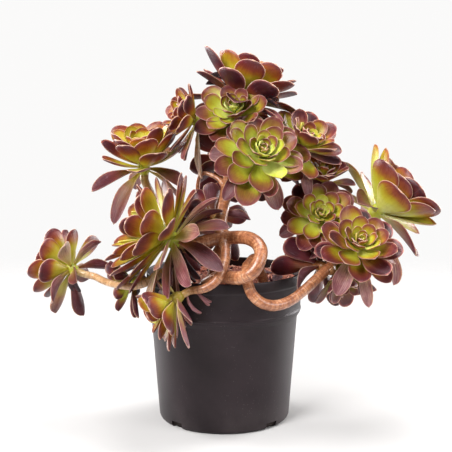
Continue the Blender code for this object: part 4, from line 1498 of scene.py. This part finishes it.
@dataclass
class Soil:
    """The potting mix: a lumpy top with loose crumbs on it."""

    pot: Pot
    bump: float = 1.6 * MM
    wave_lengths: tuple = (9.0 * MM, 11.0 * MM)
    ripple_length: float = 6.5 * MM
    fine_length: float = 3.4 * MM
    fine_layers: int = 4
    fine_height: float = 0.35 * MM
    shore: float = 3.0 * MM
    rings: int = 120
    steps: int = 260
    shade: float = 0.42
    crumbs: int = 1500
    crumb_margin: float = 4.0 * MM
    crumb_sizes: tuple = (0.6 * MM, 2.8 * MM)
    crumb_sides: int = 6
    crumb_levels: tuple = (-0.55, 0.0, 0.55)
    crumb_widths: tuple = (0.75, 1.0, 0.7)
    crumb_pole: float = 0.95
    seed: int = 41

    def height(self, x: np.ndarray, y: np.ndarray) -> np.ndarray:
        """Give the soil's height above its level.

        Two crossed waves and a ripple, as on the solid, with finer waves on
        them that turn from layer to layer and get shorter and lower.

        Args:
            x: places along X.
            y: places along Y.

        Returns:
            The heights there.
        """
        waves = np.sin(x / self.wave_lengths[0] + 1.0) * np.cos(y / self.wave_lengths[1])
        ripple = 0.5 * np.sin((x + 1.6 * y) / self.ripple_length + 2.0)
        fine = 0.0
        for layer in range(1, self.fine_layers + 1):
            turn, size = 1.9 * layer, self.fine_length / layer ** 1.2
            u = (x * math.cos(turn) + y * math.sin(turn)) / size
            v = (y * math.cos(turn) - x * math.sin(turn)) / size
            fine = fine + np.sin(u + 1.3 * np.sin(v + layer)) * np.cos(v + 0.8 * np.sin(u)) / layer
        return self.bump * 0.7 * (waves + ripple) + self.fine_height * fine

    def block(self) -> Surface:
        """Build the soil as a turned block whose top follows the height.

        Returns:
            Its closed shell, with the mark of SoilFinish.
        """
        side = [(r - GAP, z) for r, z in self.pot.inside(self.pot.floor + GAP)]
        edge = side[-1][0]
        top = [(edge * (i / self.rings), SOIL_LEVEL) for i in range(self.rings + 1)]
        surface = lathe(np.array([*top, *side[::-1], (0.0, self.pot.floor + GAP)]), self.steps)
        points = surface.points
        x, y, z = points.T
        lumps = self.height(x, y) * smooth_step((edge - np.hypot(x, y)) / self.shore)
        points[:, 2] += np.where(z > SOIL_LEVEL - MM, lumps, 0.0)
        surface.marks["crumb"] = np.full((len(points), 3), self.shade)
        return surface

    def loose_crumbs(self) -> Surface:
        """Scatter crumbs: squashed, turned pebbles, half sunk in the top.

        Returns:
            Their closed shells, with the mark of SoilFinish.
        """
        draw = np.random.default_rng(self.seed)
        edge = self.pot.collar_radius - self.pot.wall - self.crumb_margin
        reach = edge * np.sqrt(draw.uniform(0, 1, self.crumbs))
        turn = draw.uniform(0, math.tau, self.crumbs)
        x, y = reach * np.cos(turn), reach * np.sin(turn)
        small, large = self.crumb_sizes
        size = small + (large - small) * draw.uniform(0, 1, self.crumbs) ** 2.5
        centre = np.stack([x, y, SOIL_LEVEL + self.height(x, y) + 0.2 * size], -1)
        angle = angles(self.crumb_sides)
        level, width = np.array((self.crumb_levels, self.crumb_widths))[..., None]
        shape = (len(level), len(angle))
        ring = triple(shape, width * np.cos(angle), width * np.sin(angle), level)
        axes, _ = np.linalg.qr(draw.normal(size=(self.crumbs, 3, 3)))
        axes[:, :, 0] *= np.sign(np.linalg.det(axes))[:, None]
        scale = size[:, None] * draw.uniform(0.55, 1.3, (self.crumbs, 3))
        rough = draw.uniform(0.8, 1.2, (self.crumbs, *shape, 1))
        rings = np.einsum("nij,nsrj->nsri", axes, ring * rough * scale[:, None, None])
        rings = rings + centre[:, None, None]
        pole = np.array((0.0, 0.0, self.crumb_pole))
        ends = [np.einsum("nij,nj->ni", axes, end * scale) + centre for end in (-pole, pole)]
        marks = {"crumb": np.broadcast_to(draw.uniform(0, 1, (self.crumbs, 1, 1, 1)), rings.shape)}
        return shells(rings, *ends, marks).outward()

    def build(self, finish: bpy.types.Material) -> bpy.types.Object:
        """Build the soil in place of its solid."""
        surface = self.block().joined(self.loose_crumbs())
        return add_piece("potting_soil", surface.mesh("soil"), finish, "soil_mix", "soil")


@dataclass
class FallenLeaf:
    """A dry leaf that lies on the soil, where its solid lies."""

    number: int
    x: float
    y: float
    turn: float
    length: float
    half_width: float = 0.21
    thickness: float = 1.0 * MM
    cup: float = 0.5
    curl: float = 0.40
    lowest_at: float = 0.45
    last_ring: float = 0.985
    bluntest: float = 0.97
    stations: int = 16
    around: int = 16

    def build(self, finish: bpy.types.Material) -> bpy.types.Object:
        """Build the leaf.

        Along its length it curls up at both ends as the square of the distance
        from the middle, and across it its edges lift and ripple.

        Args:
            finish: its material.

        Returns:
            The piece.
        """
        name = f"fallen_leaf_{self.number}"
        s = np.linspace(0.0, self.last_ring, self.stations)[:, None]
        angle = angles(self.around)
        v, rise = np.cos(angle), np.sin(angle)
        length = self.length * MM
        half = self.half_width * length * blade_outline(np.minimum(s, self.bluntest))
        wave = np.sin(8.0 * s + 4.0 * np.sign(v) + self.number)
        lift = self.cup * half * np.abs(v) ** 1.6 * (1 + 0.25 * wave) + 0.5 * self.thickness * rise
        curl = self.curl * length * (s - self.lowest_at) ** 2
        shape = (1, self.stations, self.around)
        local = triple(shape, length * (s - 0.5), half * v * (1 + 0.05 * wave), curl + lift)
        c, d = math.cos(math.radians(self.turn)), math.sin(math.radians(self.turn))
        rings = local @ np.array(((c, d, 0.0), (-d, c, 0.0), (0.0, 0.0, 1.0)))
        rings = rings + np.array((self.x * MM, self.y * MM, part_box(name)[0].z - rings[..., 2].min()))
        marks = {"leaf_place": triple(shape, s, v, rise)}
        surface = shells(rings, rings[:, 0].mean(1), rings[:, -1].mean(1), marks).outward()
        return add_piece(f"dry_leaf_{self.number}", surface.mesh(name), finish, "dry_leaf", name)


# Studio


@dataclass
class Studio:
    """A pale floor before a white backdrop, soft lights and the camera."""

    camera_at: tuple = (0.0022, -1.2, 0.4015)
    camera_drop: float = 7.835
    lens: float = 79.2
    sensor: float = 36.0
    floor_reach: float = 1.4
    backdrop: Color = (1.0, 0.995, 0.99)
    backdrop_light: float = 0.96
    ambient: float = 0.18
    lights: tuple = (
        ("key", (-0.80, -1.15, 1.25), 0.8, 43.0),
        ("fill", (1.35, -0.75, 0.75), 0.8, 12.0),
        ("overhead", (0.15, 0.10, 1.7), 1.0, 28.0),
        ("back_left", (-2.0, 1.25, 0.60), 1.6, 88.0),
        ("back_right", (2.0, 1.25, 0.60), 1.6, 90.0),
    )
    aim: tuple = (0.0, -0.02, 0.22)

    def build_floor(self, finish: bpy.types.Material) -> None:
        """Lay the floor, a flat square.

        Args:
            finish: its material.
        """
        corners = np.array([(-1, -1, 0), (1, -1, 0), (1, 1, 0), (-1, 1, 0)]) * self.floor_reach
        mesh = Surface(corners, np.array([[0, 1, 2, 3]]), np.zeros((0, 3), int)).mesh("floor")
        mesh.materials.append(finish)
        placed("floor", mesh)

    def build_lights(self) -> None:
        """Hang the soft lights and set the pale surroundings."""
        for name, place, size, power in self.lights:
            lamp = bpy.data.lights.new(name, "AREA")
            lamp.shape = "DISK"
            lamp.size = size
            lamp.energy = power
            light = placed(name, lamp)
            light.location = place
            way = Vector(self.aim) - light.location
            light.rotation_euler = way.to_track_quat("-Z", "Y").to_euler()
        graph = Graph(bpy.data.worlds.new("studio"), "Background")
        strength = graph.node("ShaderNodeMapRange", "Result", None, {
            "Value": graph.node("ShaderNodeLightPath", "Is Camera Ray"),
            "To Min": self.ambient, "To Max": self.backdrop_light})
        bpy.context.scene.world = graph.dress(color=self.backdrop, strength=strength)

    def build_camera(self) -> None:
        """Set the camera where the photograph was taken from."""
        lens = bpy.data.cameras.new("camera")
        lens.lens = self.lens
        lens.sensor_width = self.sensor
        camera = placed("camera", lens)
        camera.location = self.camera_at
        camera.rotation_euler = (math.radians(90.0 - self.camera_drop), 0.0, 0.0)
        bpy.context.scene.camera = camera
        bpy.context.scene.view_settings.view_transform = "Standard"


COPPER = BarkFinish(
    "copper_bark",
    ((0.0, (0.095, 0.026, 0.011)), (0.35, (0.24, 0.078, 0.030)), (0.63, (0.42, 0.160, 0.067)),
     (1.0, (0.68, 0.385, 0.215))),
    (0.30, 0.21, 0.045), (0.13, 0.045, 0.028))
TAN = BarkFinish(
    "tan_bark",
    ((0.0, (0.24, 0.10, 0.040)), (0.35, (0.45, 0.235, 0.10)), (0.65, (0.63, 0.38, 0.195)),
     (1.0, (0.78, 0.60, 0.40))),
    (0.34, 0.26, 0.06), (0.20, 0.095, 0.05))
OLIVE_LEAF = LeafFinish(
    "olive_leaf",
    ((0.0, (0.40, 0.38, 0.05)), (0.25, (0.28, 0.21, 0.022)), (0.45, (0.20, 0.11, 0.020)),
     (0.62, (0.16, 0.055, 0.022)), (0.8, (0.105, 0.028, 0.024)), (1.0, (0.070, 0.018, 0.024))),
    aged=((0.0, (0.060, 0.012, 0.016)), (0.5, (0.12, 0.032, 0.042)), (1.0, (0.27, 0.115, 0.135))),
    shrivelled=(0.23, 0.095, 0.105))
DARK_LEAF = LeafFinish(
    "dark_leaf",
    ((0.0, (0.26, 0.20, 0.03)), (0.25, (0.23, 0.09, 0.025)), (0.5, (0.17, 0.032, 0.026)),
     (0.75, (0.115, 0.015, 0.022)), (1.0, (0.060, 0.009, 0.016))),
    aged=((0.0, (0.035, 0.008, 0.012)), (0.5, (0.085, 0.022, 0.030)), (1.0, (0.20, 0.085, 0.10))))
FALLEN_LEAVES = (
    FallenLeaf(1, 10, -26, 20, 30), FallenLeaf(2, 63, -20, 75, 32), FallenLeaf(3, 52, 30, 160, 30),
    FallenLeaf(4, -10, 40, 250, 34),
)


def main() -> None:
    """Dress the plant, its soil and its pot, and set up the studio."""
    logging.basicConfig(level=logging.INFO, format="%(message)s")
    studio = Studio()
    studio.build_camera()
    studio.build_lights()
    studio.build_floor(FloorFinish().build())
    pot = Pot()
    pot.build(PlasticFinish().build())
    Soil(pot).build(SoilFinish().build())
    dry = DryLeafFinish().build()
    for fallen in FALLEN_LEAVES:
        fallen.build(dry)
    bark = {Bark.COPPER: COPPER.build(), Bark.TAN: TAN.build()}
    for stem in STEMS:
        stem.build(bark[stem.bark])
    leaf = {
        Growth.SUNLIT: LeafFinish("green_maroon_leaf").build(), Growth.HANGING: OLIVE_LEAF.build(),
        Growth.SHADED: DARK_LEAF.build()}
    for name, row in ROSETTES.items():
        RosettePiece(name).build(leaf[row.growth])


if __name__ == "__main__":
    main()
